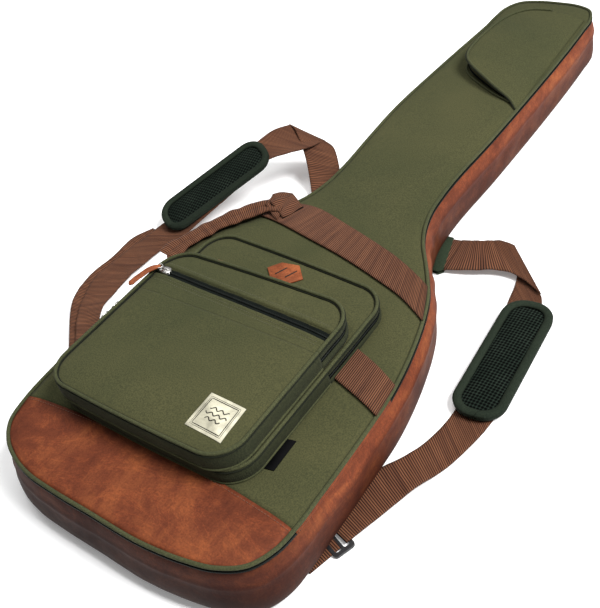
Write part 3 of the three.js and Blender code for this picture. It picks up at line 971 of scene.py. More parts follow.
def add_handle():
    """A strip of webbing folded along its length, with both ends sewn down."""
    route = [(-96, 456, 78.5), (-104, 453, 80.0), (-119, 444, 79.5), (-138, 424, 78),
             (-154, 401, 77.5), (-166, 376, 77.5), (-175, 352, 77.5), (-180, 335, 77.5),
             (-182, 322, 77)]
    line = curve(route, 2.6)
    total = lengths(line)
    rows = []
    for (p, _, side, rise), along in zip(frames(line), total):
        t = along / total[-1]
        half = 13.5 + 3.8 * wave(p.x, p.y, 15, 2.0) + 3.0 * ease((t - 0.75) / 0.25)
        crush = 0.55 + 0.45 * wave(p.x, p.y, 9, 5.0)
        gap = 1.3 + 1.3 * crush
        dip = 2.6 * wave(p.x, p.y, 13, 8.0)
        left = [(-half, 0.0), (-half * 0.9, gap), (-half * 0.55, gap * 1.35),
                (-half * 0.2, gap * 1.15 + dip), (-1.4 + dip, gap * 0.9)]
        slot = [(-0.2 + dip, -gap * 0.75)]
        right = [(1.1 + dip, gap * 0.85), (half * 0.25, gap * 1.2 - dip * 0.5),
                 (half * 0.6, gap * 1.3), (half * 0.92, gap * 0.85), (half, 0.0)]
        under = [(half * 0.8, -gap), (0, -gap * 1.1), (-half * 0.8, -gap)]
        rows.append([p + side * u + rise * v for u, v in left + slot + right + under])
    count = len(rows[0])
    across = [STRAP_W * k / count for k in range(count + 1)]
    grip = grid("carry_handle_webbing", rows, WEBBING, wrap=True, across=across, along=total,
                caps=True)
    dress(grip, "carry_handle", "webbing", "carry_handle")

    def crumpled(across, along, p):
        return p + UP * (1.3 * math.sin(9 * along + 5 * across) * math.sin(math.pi * across))
    folds = [([(-118, 463, 85), (-108, 472, 84), (-96, 476, 82)],
              [(-116, 445, 82), (-101, 436, 76.5), (-90, 431, 75.2)]),
             ([(-96, 476, 82.5), (-84, 470, 79), (-72, 464, 76)],
              [(-112, 449, 84.5), (-98, 444, 79), (-84, 436, 75.6)])]
    pieces = [ribbon("fold", first, second, 30, step=2.5, sides=10, thickness=2.0, shape=crumpled)
              for first, second in folds]
    dress(join("handle_fold_upper", pieces), "lid", "webbing", "handle_tab_upper")
    low = ribbon("handle_fold_lower", [(-176, 344, 76), (-164, 330, 75.5), (-150, 318, 74.5)],
                 [(-188, 326, 76), (-174, 314, 75.5), (-160, 304, 74.5)], 30, step=2.5)
    dress(low, "lid", "webbing", "handle_tab_lower")


# ---------------------------------------------------------------- front pockets

FACE_INSET = -3.4


class Pocket:
    """The plan of a front pocket, read from its CAD nodes."""

    def __init__(self, letter, radius, base, tilt):
        low, high = box(f"pocket_{letter}_body")[0], box(f"pocket_{letter}_flap")[1]
        self.letter = letter
        self.x0, self.x1, self.y0, self.y1 = low.x, high.x, low.y, high.y
        self.base = base
        self.top = high.z
        self.zip_z = middle(f"pocket_{letter}_zip").z
        self.tilt = tilt
        self.radius = radius
        self.path = self.rounded(radius)
        self.tree = tree_of(offset(self.path, FACE_INSET))

    def rounded(self, r):
        """The outline as evenly spaced points, anticlockwise, with its top edge tilted."""
        line = resample(rounded_box(self.x0, self.y0, self.x1, self.y1, r, r, 12), 3.0,
                        closed=True)
        centre = (self.x0 + self.x1) / 2
        for p in line:
            share = ease((p.y - FOLD_Y) / (self.y1 - FOLD_Y))
            p.y -= self.tilt * (p.x - centre) * share
            bow = math.sin(math.pi * (p.x - self.x0) / (self.x1 - self.x0))
            p.y += 2.0 * bow * share - 2.5 * bow * ease((self.y0 + 60 - p.y) / 60)
        return line

    def halves(self, out=0.0):
        """The outline's lower part, left to right, and its upper part, right to left."""
        line = offset(self.path, out)
        left, right = (min((i for i, p in enumerate(line) if p.x * side > 0),
                           key=lambda i: abs(line[i].y - FOLD_Y)) for side in (-1, 1))
        for i in (left, right):
            line[i] = Vector((line[i].x, FOLD_Y, 0))
        return stretch(line, left, right), stretch(line, right, left)

    def face(self, x, y):
        """The top of the padded face."""
        inside = self.tree.find((x, y, 0))[2]
        fullness = 1 - math.exp(-inside / 15)
        z = self.top - 0.9 + 3.5 * fullness
        z += (0.8 * wave(x, y, 95, 1.0) + 0.4 * wave(x, y, 34, 6.0)) * min(1, inside / 22)
        if self.letter == "a":
            away = abs(y - slash_y(x))
            z -= 3.0 * (1 - ease((away - 4.6) / 2.4))
            z += 1.1 * math.exp(-((away - 8.6) / 2.8) ** 2)
            z -= 0.7 * hump(x, -42, 7) * hump(y, self.y0 + 12, 26)
        return z

    def face_rows(self, part, wide, tall):
        """Rows of points on the low or the high part of the face."""
        line = offset(self.path, FACE_INSET)
        r = self.radius * 0.3
        drop = self.tilt * 110
        x0, x1, y0, y1 = self.x0 + r, self.x1 - r, self.y0 + r, self.y1 - r
        bottom, right, top, left = four_edges(
            line, [(x0, y0), (x1, y0), (x1, y1 - drop), (x0, y1 + drop)])
        right, left = folded(right, part), folded(left, part)
        if part == "high":
            bottom = [left[0], right[0]]
        else:
            top = [left[-1], right[-1]]
        return [laid(line, self.face) for line in coons(bottom, right, top, left, wide, tall)]


def folded(side, part):
    """A side edge of a pocket's face cut at the fold."""
    points = [p for p in side if (p.y > FOLD_Y) == (part == "high")]
    fold = Vector((min(side, key=lambda p: abs(p.y - FOLD_Y)).x, FOLD_Y, 0))
    return [fold] + points if part == "high" else points + [fold]


B = Pocket("b", 33, 71.0, 0.07)
A = Pocket("a", 34, box("pocket_a_body")[0].z - 3.0, 0.0)
SLASH = middle("slash_zip")
SLASH_TURN = -0.04


def slash_y(x):
    """The line of the zip across the front pocket's face."""
    return SLASH.y + SLASH_TURN * (x - SLASH.x)


def wall_section(z0, z1, bulge):
    """A pocket wall from one height to another, bulging a little."""
    steps = 6
    return [(bulge * math.sin(math.pi * k / steps), lerp(z0, z1, k / steps))
            for k in range(steps + 1)]


def pocket_warp(p, z):
    """Small bulges of a pocket wall."""
    return 0.5 * wave(p.x, p.y, 30, z / 14) + 0.25 * wave(p.x, p.y, 11, z / 7)


def fabric(slot, obj, pocket, part):
    """Bakes a pocket's fabric in place: part is low, high or whole."""
    lid_bodies = ("lid", "pocket_b_flap")
    fold = (0, FOLD_Y, pocket.top)
    if pocket.letter == "b":
        bend(obj, lid_bodies, (0, FOLD_Y - 8.6, pocket.top - 13.5), fold, slot)
    elif part == "low":
        bend(obj, lid_bodies, (0, FOLD_Y - 30, pocket.top), fold, slot)
    else:
        bend(obj, ("pocket_b_flap", "pocket_a_flap"), fold, (0, FOLD_Y + 18, pocket.top), slot)


def add_pocket(pocket):
    """Walls, zip, piping and padded face of one front pocket."""
    node = f"pocket_{pocket.letter}_"
    rear_body = "lid" if pocket.letter == "b" else "pocket_b_flap"
    z, tape = pocket.zip_z, 3.4
    lower, upper = pocket.halves()

    # Walls default to the canvas darkened as painted shade.
    def wall(name, line, section, look=PAINTED_SHADE_CANVAS, thickness=1.5, warp=pocket_warp):
        strip = loft(node + name, line, section, look, closed=False, warp=warp)
        return thicken(strip, thickness)
    low = wall("lower_wall", lower, wall_section(pocket.base, pocket.top + 0.6, 1.3))
    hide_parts(node + "body")
    fabric("canvas", low, pocket, "low")
    rear = wall("rear_wall_canvas", upper, wall_section(pocket.base, z - tape + 0.6, 0.8))
    dress(rear, rear_body, "canvas", node + "rear_wall")
    flap = wall("flap_wall", upper, wall_section(z + tape - 0.4, pocket.top + 0.6, 0.6))
    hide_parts(node + "flap")
    fabric("canvas", flap, pocket, "high")
    below = [(-0.4, z - tape), (-1.0, z - 1.2), (-0.9, z - 0.1)]
    rear_tape = wall("zip_rear_tape", upper, below, ZIP_TAPE, 0.8, None)
    dress(rear_tape, rear_body, "zip", node + "zip")
    above = [(-0.9, z + 0.1), (-1.0, z + 1.2), (-0.4, z + tape)]
    fabric("zip", wall("zip_front_tape", upper, above, ZIP_TAPE, 0.8, None), pocket, "high")
    chain = offset(upper, -0.8, closed=False)
    dress(zip_coil(node + "zip_coil", chain, z), rear_body, "zip")
    add_pocket_cords(pocket, node)
    for part, tall in (("low", 44), ("high", 64)):
        face = grid(f"{node}face_{part}", pocket.face_rows(part, 70, tall), CANVAS)
        thicken(face, 1.6)
        fabric("canvas", face, pocket, part)


def add_pocket_cords(pocket, node):
    """The piping round the face and at the foot, and dark cords below and inside the first, which
    paint the shadow lines beside it.
    """
    inset, cord_z = -1.2, pocket.top + 1.5
    if pocket.letter == "b":
        cord = tube(node + "piping", at_height(offset(pocket.path, inset), cord_z),
                    POCKET_PIPING_R, PIPING, closed=True, sides=10)
        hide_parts("pocket_b_piping_lower", "pocket_b_piping_upper")
        fabric("piping", cord, pocket, "whole")
    else:
        for part, line, cad in zip(("low", "high"), pocket.halves(inset), ("lower", "upper")):
            cord = tube(f"{node}piping_{cad}_cord", at_height(line, cord_z), POCKET_PIPING_R,
                        PIPING, sides=10)
            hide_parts(f"pocket_a_piping_{cad}")
            fabric("piping", cord, pocket, part)
    foot = at_height(offset(pocket.halves()[0], 0.5, closed=False), pocket.base + 3.2)
    dress(tube(node + "foot_piping", foot, 1.4, PIPING), "lid", "piping")
    # The crease and seam cords are painted shadow: dark lines under the piping and along its inner
    # side.
    for name, out, z, radius in (("crease", 0.5, pocket.top - 1.2, 0.9),
                                 ("seam", -3.5, pocket.top + 0.1, 0.75)):
        for part, line in zip(("low", "high"), pocket.halves(out)):
            cord = tube(f"{node}{name}_{part}", at_height(line, z), radius, PAINTED_SHADOW_CORD, sides=6)
            fabric("piping", cord, pocket, part)


def zip_coil(name, path, z):
    """The coil of a zip that runs along a wall and faces outward."""
    line = resample(path, 1.2)
    rows = []
    for i, (p, n) in enumerate(zip(line, outward(line, False))):
        swell = 1.0 if i % 2 else 0.6
        c = Vector((p.x, p.y, z))
        rows.append([c - UP * 1.4 * swell, c - UP * swell + n * swell, c + n * 1.3 * swell,
                     c + UP * swell + n * swell, c + UP * 1.4 * swell][::-1])
    return grid(name, rows, ZIP_COIL, wrap=True, caps=True)


def add_slash_zip():
    """The zip across the front pocket's face, in a groove between two welts."""
    xs = [lerp(A.x0 + 4, A.x1 - 4, k / 90) for k in range(91)]

    def run(away, lift):
        return [Vector((x, slash_y(x) + away, A.face(x, slash_y(x)) + lift)) for x in xs]
    edges = [run(away, lift) for away, lift in
             ((6.2, 1.0), (4.4, 0.5), (0.0, 0.4), (-4.4, 0.5), (-6.2, 1.0))]
    tape = grid("slash_zip_tape", [list(line) for line in zip(*edges)], ZIP_TAPE)
    dress(thicken(tape, 0.5), "pocket_a_flap", "zip", "slash_zip")
    coil = teeth("slash_zip_coil", run(0, 0.5), ZIP_COIL, 2.2, 3.6, 1.5)
    dress(coil, "pocket_a_flap", "zip")
    rows = []
    for away in (-11.6, -15.6, 11.6):
        path = laid(polygon((x, slash_y(x) + away) for x in xs[3:-3]), A.face, 0.1)
        rows.append(stitches("row", path, OLIVE_THREAD, 3.2, 2.2, 0.34))
    dress(join("slash_zip_stitching", rows), "pocket_a_flap", "canvas")


def add_label():
    """Cream label with a plain double border and a plain mark; it carries no lettering."""
    low, high = box("woven_label")
    corners = polygon([(low.x, low.y + 1.5), (high.x, low.y), (high.x - 2, high.y - 1),
                       (low.x, high.y)])
    edge = edged(corners, 10)
    top = 0.95
    label = slab("woven_label_cloth", edge, 0.15, top, LABEL, 0.25, height=A.face)
    dress(label, "lid", "label", "woven_label")
    centre = sum(corners, Vector((0, 0, 0))) / 4
    prints = []
    for share, radius in ((0.84, 0.21), (0.76, 0.42)):
        ring = [centre + (p - centre) * share for p in edge]
        prints.append(tube("print", laid(ring, A.face, top), radius, LABEL_INK, closed=True,
                           sides=6, flat=0.35))
    for dy, half in ((7, 11), (1, 13), (-5, 9)):
        wavy = polygon((centre.x + u, centre.y + dy + 1.4 * math.sin(u * 0.75))
                       for u in (lerp(-half, half, k / 40) for k in range(41)))
        prints.append(tube("print", laid(wavy, A.face, top), 0.5, LABEL_INK, sides=6, flat=0.35))
    dress(join("woven_label_print", prints), "lid", "label")


def add_lash_patch():
    """Leather patch with two slots, a plain lash point."""
    corners = polygon([(-28, 337), (-14, 324), (11, 324), (22, 338), (4, 356), (-18, 352)])
    patch = slab("lash_patch_leather", edged(corners, 6), 0.1, 2.3, TAN, 0.5, height=B.face)
    dress(patch, "pocket_b_flap", "pull_leather", "lash_patch")
    slots = []
    # Each slot is a flat dark cord in the ink colour: painted shade inside the slot.
    for x in (-9, 5):
        line = resample(polygon([(x - 3, 331), (x + 3, 346)]), 2.0)
        slots.append(tube("slot", laid(line, B.face, 2.35), 0.9, LABEL_INK, flat=0.3))
    dress(join("lash_patch_slots", slots), "pocket_b_flap", "pull_leather")


# ---------------------------------------------------------------- headstock pocket

HEAD_HIGH = box("headstock_pocket_cover")[1]
HEAD_EDGE = [(78, 752), (62, 765), (35, 777), (3, 796), (-24, 816), (-37, 838), (-41, 868),
             (-40, 910), (-38, 950), (-31, 976), (-14, 993), (10, 1001), (38, 1003), (68, 1000)]
HEAD_RISE = HEAD_HIGH.z - PANEL_TOP - 1.5


def head_height(x, y):
    """The top of the headstock pocket: deep on the left, running out at the right piping."""
    run = min(1.0, max(0.0, (x + 34) / 110))
    rise = HEAD_RISE * (1 - run ** 1.6) * (1 - 0.45 * ease((y - 895) / 105))
    crease = 0.7 * wave(x, y, 40, 2.0) + 0.9 * wave(x, y, 95, 4.0)
    return lid_height(x, y) + 0.6 + rise + crease * min(1.0, rise / 6)


def head_ring(edge, section):
    """Rows round the pocket's open side. section holds (outward, share of the height) pairs."""
    normals = outward(edge, closed=False)
    rows = []
    for out, share in section:
        line = []
        for p, n in zip(edge, normals):
            floor = lid_height(p.x, p.y)
            tall = head_height(p.x, p.y) - floor
            q = p - n * (out * tall / HEAD_RISE)
            line.append(Vector((q.x, q.y, floor + tall * share)))
        rows.append(line)
    return rows


def on_head(obj, slot, *nodes):
    """Bakes a piece of the headstock pocket in place. The cover's hinge is along the right piping.
    """
    return bend(obj, ("lid", "headstock_cover"), (HEAD_HIGH.x + 2, 870, PANEL_TOP + 2),
                (HEAD_HIGH.x - 14, 870, PANEL_TOP + 5), slot, *nodes)


def add_headstock_pocket():
    """A pocket that stands open on its left side and runs out at the right piping."""
    edge = curve(polygon(HEAD_EDGE), 3.0)
    foot = grid("headstock_pocket_foot", head_ring(edge, [
        (-1.6, 0.26), (-3, 0.17), (-5.5, 0.06), (-9, -0.05)]), CANVAS)
    dress(thicken(foot, 1.2), "lid", "canvas")
    tape = grid("headstock_pocket_zip_tape", head_ring(edge, [
        (-0.2, 0.42), (-0.2, 0.3), (-1.0, 0.22)]), ZIP_TAPE)
    dress(thicken(tape, 0.8), "lid", "zip", "headstock_pocket_zip")
    wall = grid("headstock_pocket_wall", head_ring(edge, [
        (0.2, 0.96), (-1.5, 0.72), (-1.9, 0.52), (-1.2, 0.36)]), CANVAS)
    on_head(thicken(wall, 1.3), "canvas")
    sewn = [p for p in edge if not (p.x > 20 and p.y > 900)]
    on_head(tube("headstock_pocket_piping", laid(sewn, head_height, 0.9), POCKET_PIPING_R, PIPING,
                 sides=10), "piping")
    # A dark cord inside the piping: a painted shadow line.
    seam = laid(offset(sewn, -2.4, closed=False), head_height, 0.5)
    on_head(tube("headstock_pocket_shadow_cord", seam, 0.95, PAINTED_SHADOW_CORD, sides=6), "piping")
    lip = [p for p in offset(edge, -2.6, closed=False) if p.y < 900][6:]
    dress(tube("headstock_pocket_lip", laid(lip, lid_height, 1.7), 1.4, PIPING), "lid", "piping")
    low, high = nearest(edge, -34, 828), nearest(edge, -33, 974)
    bottom, left, top = edge[:low + 1][::-1], edge[low:high + 1], edge[high:]
    flat = coons(bottom, [edge[0], edge[-1]], top, left, 40, 66)
    face = grid("headstock_pocket_cover_face", [laid(line, head_height) for line in flat], CANVAS)
    thicken(face, 1.4)
    on_head(face, "canvas", "headstock_pocket_cover")


# ---------------------------------------------------------------- zip sliders and pulls

def placed(pieces, origin, turn):
    """Moves pieces drawn about the plan's origin to their place. turn is a rotation matrix."""
    shift = row(origin)
    home = row((0, 0, 0))
    for obj in pieces:
        obj.data.transform(Matrix.Translation(shift) @ turn.to_4x4() @ Matrix.Translation(-home))
    return pieces


def slider_body(name, scale):
    """A zip slider drawn along x with its bridge on top."""
    def plate(z, long, wide, tall):
        shape = [(-long / 2, -wide * 0.32), (-long * 0.2, -wide / 2), (long * 0.3, -wide / 2),
                 (long / 2, -wide * 0.2), (long / 2, wide * 0.2), (long * 0.3, wide / 2),
                 (-long * 0.2, wide / 2), (-long / 2, wide * 0.32)]
        edge = curve([(x * scale, y * scale, 0) for x, y in shape], 1.0 * scale, closed=True)
        return slab("plate", edge, z * scale, (z + tall) * scale, NICKEL, 0.35 * scale)
    arch = [Vector((x, 0, z)) * scale for x, z in
            ((-5.2, 1.3), (-4.6, 2.6), (-3, 3.4), (0, 3.6), (3, 3.4), (4.4, 2.6), (4.8, 1.3))]
    bridge = tube("bridge", resample(arch, 0.6 * scale), 0.8 * scale, NICKEL)
    rails = [tube("rail", [Vector((x, y, 0.2)) * scale for x in (-5, -2.5, 0, 2.5, 5)],
                  0.8 * scale, NICKEL) for y in (-4.0, 4.0)]
    return join(name, [plate(0.4, 14, 9.4, 1.4), plate(-1.6, 13, 8.8, 1.0), bridge, *rails])


def pull_tab(name, route, width):
    """A leather pull on a wire loop, along a route that starts at its pin."""
    line = curve(route, 1.4)
    total = lengths(line)
    half_thickness = 0.95
    section = ((-1, -0.5), (-0.86, -1), (0.86, -1), (1, -0.5), (1, 0.5), (0.86, 1), (-0.86, 1),
               (-1, 0.5))
    rows = []
    for (p, _, side, face), along in zip(frames(line, least=0.05), total):
        t = along / total[-1]
        half = width / 2 * (0.62 + 0.38 * ease(t * 4)) * (1 - 0.8 * ease((t - 0.93) / 0.07))
        rows.append([p + side * half * u + face * half_thickness * v for u, v in section])
    tab = grid(name, rows, TAN, wrap=True, caps=True)
    sewn = [stitches("sewn", [ring[near].lerp(ring[far], 0.12) for ring in rows[4:-3]],
                     BROWN_THREAD, 2.2, 1.5, 0.22) for near, far in ((5, 6), (6, 5))]
    tab.data.materials.append(BROWN_THREAD)
    start, way = line[0], (line[2] - line[0]).normalized()
    side = way.cross(UP).normalized() * 2.6
    ring = [start - way * 1.5 - side, start - way * 2.6, start - way * 1.5 + side,
            start + way * 3.4 + side, start + way * 4.2, start + way * 3.4 - side]
    loop = tube("loop", curve(ring, 1.0, closed=True), 0.65, NICKEL, closed=True)
    return join(name, [tab, *sewn, loop])


def joint_place(name):
    """A joint's position in the bag's plan."""
    place, = [j["pos_m"] for j in frame["record"]["behaviour"]["joints"] if j["name"] == name]
    return Vector((place[0] / MM, place[1] / MM - END_Y, place[2] / MM))


def add_slider(name, spot, turn, size, route, width):
    """One zip slider and its pull, each on its own body."""
    body, = placed([slider_body(name + "_slider_body", size)], spot, turn)
    dress(body, name + "_slider", "slider_metal", name + "_slider")
    pull = pull_tab(name + "_pull_leather", route, width)
    dress(pull, name + "_pull", "pull_leather", name + "_pull")


def turned(axis, degrees):
    return Matrix.Rotation(math.radians(degrees), 3, axis)


def add_sliders():
    spot = middle("slash_slider")
    spot.z = A.face(spot.x, spot.y) + 2.6
    pin = joint_place("slash_pull_hinge")
    route = [pin + Vector((-across, -along, rise)) for across, along, rise in
             ((0, 0, 1.4), (5, 6, 2.2), (9, 12, 1.8), (12, 20, 0.8), (14.5, 29, 0.2),
              (16, 38, -1.0))]
    add_slider("slash", spot, turned("Z", math.degrees(SLASH_TURN)), 1.05, route, 8.5)
    for letter in ("a", "b"):
        name = f"pocket_{letter}"
        spot = middle(name + "_slider") + Vector((0, 0.6, 0))
        low, high = box(name + "_pull")
        route = [(spot.x, lerp(low.y + 1.2, high.y - 0.5, t), lerp(high.z - 1, low.z + 1, t * t))
                 for t in (0, 0.35, 0.7, 1)]
        add_slider(name, spot, turned("X", -90), 0.9, route, 7.5)
    for name in ("main_upper", "main_lower"):
        spot = middle(name + "_slider") - Vector((1.2, 0, 0))
        low, high = box(name + "_pull")
        x = (low.x + high.x) / 2
        route = [(x + 0.4, spot.y, high.z - 1), (x - 0.5, spot.y, high.z - 10),
                 (x - 0.4, spot.y + 0.4, high.z - 22), (x + 0.2, spot.y, low.z + 0.5)]
        add_slider(name, spot, turned("Z", 90) @ turned("X", 90), 0.95, route, 8.0)
    spot = middle("headstock_slider") + Vector((-0.6, 0, 2))
    low, high = box("headstock_pull")
    route = [(lerp(high.x, low.x, t), spot.y, 75.6 - 1.2 * t) for t in (0, 0.25, 0.45, 0.65)]
    add_slider("headstock", spot, turned("Z", 90) @ turned("X", 50), 0.8, route, 6.0)


# ---------------------------------------------------------------- shoulder straps

# Each strap is laid out by its two edges, as (x, y, height). "hinge" and "free" are two points
# across its lift joint, and "rumple" says how crumpled its long run is.
STRAPS = {
    "right": {
        "hinge": (205, 240, 1.6), "free": (233.3, 250, 1.6), "rumple": 0.8,
        "stub": ([(66, 547, 3.9), (82, 549, 4.0), (100, 551, 4.4)],
                 [(66, 496, 3.9), (86, 494, 4.0), (105, 494, 4.4)]),
        "upper": ([(98, 551, 4.4), (124, 557, 7), (146, 562, 10), (165, 560, 10)],
                  [(103, 494, 4.4), (135, 502, 8), (167, 514, 9), (194, 513, 7.6),
                   (227, 498, 5.2)]),
        "run": ([(165, 560, 8.6), (182, 530, 2.8), (191, 506, 1.6), (197, 474, 1.6),
                 (208, 435, 1.6), (213, 391, 1.6), (216, 350, 1.6), (218, 314, 1.6),
                 (218, 291, 1.6), (213, 262, 2.2), (203, 234, 4), (187, 202, 6.5),
                 (172, 166, 5), (161, 135, 4.6)],
                [(227, 498, 3.4), (233, 487, 1.9), (241, 468, 1.6), (250, 435, 1.6),
                 (256, 391, 1.6), (260, 350, 1.6), (259, 314, 1.6), (257, 291, 1.6),
                 (252, 263, 2.4), (243, 231, 4), (233, 203, 8), (221, 170, 5.5),
                 (205, 122, 4.6)]),
        "tail": ([(163, 131, 3.4), (158, 108, 2.0), (154, 92, 1.6)],
                 [(203, 118, 3.4), (196, 96, 2.0), (191, 80, 1.6)]),
        "tab": [(70, 490), (98, 488), (103, 494), (86, 552), (70, 552)],
    },
    "left": {
        "hinge": (-287, 290, 1.6), "free": (-311, 308, 1.6), "rumple": 1.5,
        "stub": ([(-56, 532, 3.9), (-76, 550, 4.1), (-94, 566, 4.6)],
                 [(-84, 498, 3.9), (-106, 518, 4.1), (-122, 532, 4.6)]),
        "upper": ([(-92, 564, 4.6), (-125, 607, 9), (-142, 630, 18), (-158, 645, 30),
                   (-173, 645, 40)],
                  [(-120, 530, 4.6), (-148, 566, 9), (-166, 590, 28), (-182, 607, 48),
                   (-206, 626, 64), (-218, 630, 68)]),
        "run": ([(-217, 629, 67), (-230, 607, 69), (-239, 578, 66), (-257, 532, 53),
                 (-279, 489, 39.5), (-300, 443, 19), (-316, 404, 8.5), (-327, 360, 7.5),
                 (-326, 318, 9), (-322, 288, 10), (-310, 258, 10), (-290, 228, 8), (-256, 190, 6),
                 (-221, 134, 4.6)],
                [(-173, 645, 38), (-173, 612, 49), (-184, 580, 58), (-200, 550, 61),
                 (-221, 507, 44), (-241, 466, 27), (-261, 424, 12.5), (-280, 392, 5),
                 (-284, 356, 3), (-286, 322, 4), (-284, 292, 3), (-276, 262, 5), (-256, 232, 3),
                 (-226, 198, 5), (-188, 164, 4.6)]),
        "return": ([(-330, 418, 3), (-343, 388, 4), (-338, 346, 7), (-341, 306, 6.5),
                    (-332, 266, 8), (-310, 232, 6), (-270, 192, 4), (-226, 146, 2.4)],
                   [(-296, 412, 2), (-304, 388, 2), (-299, 350, 2), (-303, 306, 1.6),
                    (-295, 270, 2), (-277, 240, 1.6), (-242, 204, 2), (-200, 168, 1.8)]),
        "tail": ([(-219, 132, 3.4), (-206, 116, 2.0), (-196, 106, 1.6)],
                 [(-190, 160, 3.4), (-176, 146, 2.0), (-166, 136, 1.6)]),
        "tab": [(-72, 488), (-92, 492), (-122, 532), (-92, 566), (-72, 554)],
    },
}


def rumpled(seed, amount):
    """Long waves along a strap, and a slight hollow across it."""
    def shape(across, along, p):
        crease = max(0.0, math.sin(along * 74 + 4 * across + 3 * wave(p.x, p.y, 60, seed))) ** 3
        crumple = 1.5 * crease * (0.5 + 0.5 * wave(p.x, p.y, 75, seed + 2))
        lift = amount * (1.1 * math.sin(along * 31 + 5 * across + seed) + crumple
                         + 0.9 * wave(p.x, p.y, 21, seed)) * math.sin(math.pi * (1 - along))
        edge = 0.7 * amount * abs(2 * across - 1) ** 2
        return Vector((p.x, p.y, max(1.9, p.z + max(lift, -1.2) * 0.7 + edge)))
    return shape


def add_strap(side):
    """One shoulder strap, from the tab that holds its upper end down to its tail."""
    plan = STRAPS[side]
    stub = ribbon(f"{side}_strap_stub_webbing", *plan["stub"], STRAP_W)
    dress(stub, "back_half", "webbing", f"{side}_strap_stub")
    for part, width, seed, amount, *nodes in (
            ("upper", STRAP_W, 1.0, 0.6, f"{side}_strap"),
            ("run", STRAP_W, 2.0, plan["rumple"], f"{side}_strap_lower"),
            ("return", STRAP_W - 6, 4.0, 0.6)):
        if part in plan:
            piece = ribbon(f"{side}_strap_{part}_webbing", *plan[part], width,
                           shape=rumpled(seed, amount))
            bend(piece, ("back_half", f"{side}_strap"), plan["hinge"], plan["free"], "webbing",
                 *nodes)
    tail = ribbon(f"{side}_strap_tail_webbing", *plan["tail"], STRAP_W - 4)
    dress(tail, "back_half", "webbing")
    edge = edged(polygon(plan["tab"]), 5)
    for name, z0, z1, *nodes in (("under", 0.5, 2.2, f"{side}_strap_tab"), ("over", 5.0, 6.4)):
        tab = slab(f"{side}_strap_tab_{name}", edge, z0, z1, TAB_CANVAS, 0.5)
        dress(tab, "back_half", "strap_tab_canvas", *nodes)
    add_adjuster(side)


def pad_ring(inset, step=3.0):
    """A pad's outline about the plan's origin, long along y."""
    x, y = PAD_W / 2, PAD_L / 2
    points = rounded_box(-x, -y, x, y, PAD_R, PAD_R - inset, 8)
    return resample(points, step, closed=True)


PUFF_FRAMES = 20


def puff(obj, voxel, pressure, cap):
    """Swells a closed piece as cloth with air inside. No point moves further than the cap."""
    modify(obj, "REMESH", mode="VOXEL", voxel_size=voxel * MM)
    settle(obj)
    before = [v.co.copy() for v in obj.data.vertices]
    cloth = modify(obj, "CLOTH")
    cloth.settings.use_pressure = True
    cloth.settings.uniform_pressure_force = pressure
    cloth.settings.effector_weights.gravity = 0
    cloth.point_cache.frame_end = PUFF_FRAMES
    for step in range(1, PUFF_FRAMES + 1):
        bpy.context.scene.frame_set(step)
    settle(obj)
    bpy.context.scene.frame_set(1)
    for v, old in zip(obj.data.vertices, before):
        move = v.co - old
        if move.length > cap * MM:
            v.co = old + move.normalized() * cap * MM
    modify(obj, "SUBSURF", levels=1, render_levels=1)
    settle(obj)
    obj.data.polygons.foreach_set("use_smooth", [True] * len(obj.data.polygons))
    return obj


PAD_L, PAD_W, PAD_R = 178, 60, 26
PAD_LOW, PAD_HIGH = (corner.z for corner in box("right_shoulder_pad"))


def add_pad(side, spot, turn):
    """A foam pad with a bound rim round a recessed mesh face. It is drawn flat, then placed."""
    core = slab("core", pad_ring(1.8), PAD_LOW + 0.8, PAD_HIGH - 7.6, PAD_CANVAS, 1.4)
    puff(core, 4.0, 4.0, 1.0)
    rows = []
    rim = pad_ring(5.4, step=2.0)
    turns = [-2 * math.pi * k / 12 for k in range(12)]
    for i, (p, n) in enumerate(zip(rim, outward(rim))):
        tall = 2.7 + 0.4 * (0.25 * math.sin(i * 2.2) + 0.7 * wave(p.x, p.y, 8, 3.0))
        rows.append([p + n * (4.9 * math.cos(t)) + UP * (PAD_HIGH - 3.3 + tall * math.sin(t))
                     for t in turns])
    binding = grid("binding", rows, PAD_CANVAS, wrap=True, loop=True)
    skirt = loft("skirt", pad_ring(0.9), [
        (-2.4, PAD_LOW + 0.7), (-0.4, PAD_LOW + 2.0), (0.1, PAD_LOW + 4.5), (0.0, PAD_HIGH - 4.6),
        (-1.2, PAD_HIGH - 2.6)], PAD_CANVAS)
    thicken(skirt, 1.0)
    lap_edges = [[(x, y - PAD_L / 2, PAD_HIGH - drop) for x, y, drop in edge] for edge in
                 (((3, 0.4, 3), (5, 4, 0.2), (7, 9.6, 2.6)),
                  ((15, 2.6, 3), (15, 5.5, 0.2), (14, 10.6, 2.6)))]
    lap = ribbon("lap", *lap_edges, 10, PAD_CANVAS, 0.9, step=1.5, sides=6)
    inner = pad_ring(8.6)
    tree = tree_of(inner)

    def sunk(x, y):
        inside = tree.find((x, y, 0))[2]
        return PAD_HIGH - 5.2 + 2.4 * (1 - math.exp(-inside / 7)) + 0.4 * wave(x, y, 17, 8.0)
    edges = four_edges(inner, ((-14, -76), (14, -76), (14, 76), (-14, 76)))
    face = grid("face", [laid(line, sunk) for line in coons(*edges, 20, 60)], PAD_MESH)
    thicken(face, 1.5)
    pieces = placed([core, binding, skirt, lap, face], spot, turn)
    for obj, name in zip(pieces, ("cushion", "binding", "edge", "binding_lap", "mesh_face")):
        obj.name = f"{side}_pad_{name}"
        dress(obj, f"{side}_pad", "shoulder_pad")
    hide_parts(f"{side}_shoulder_pad")


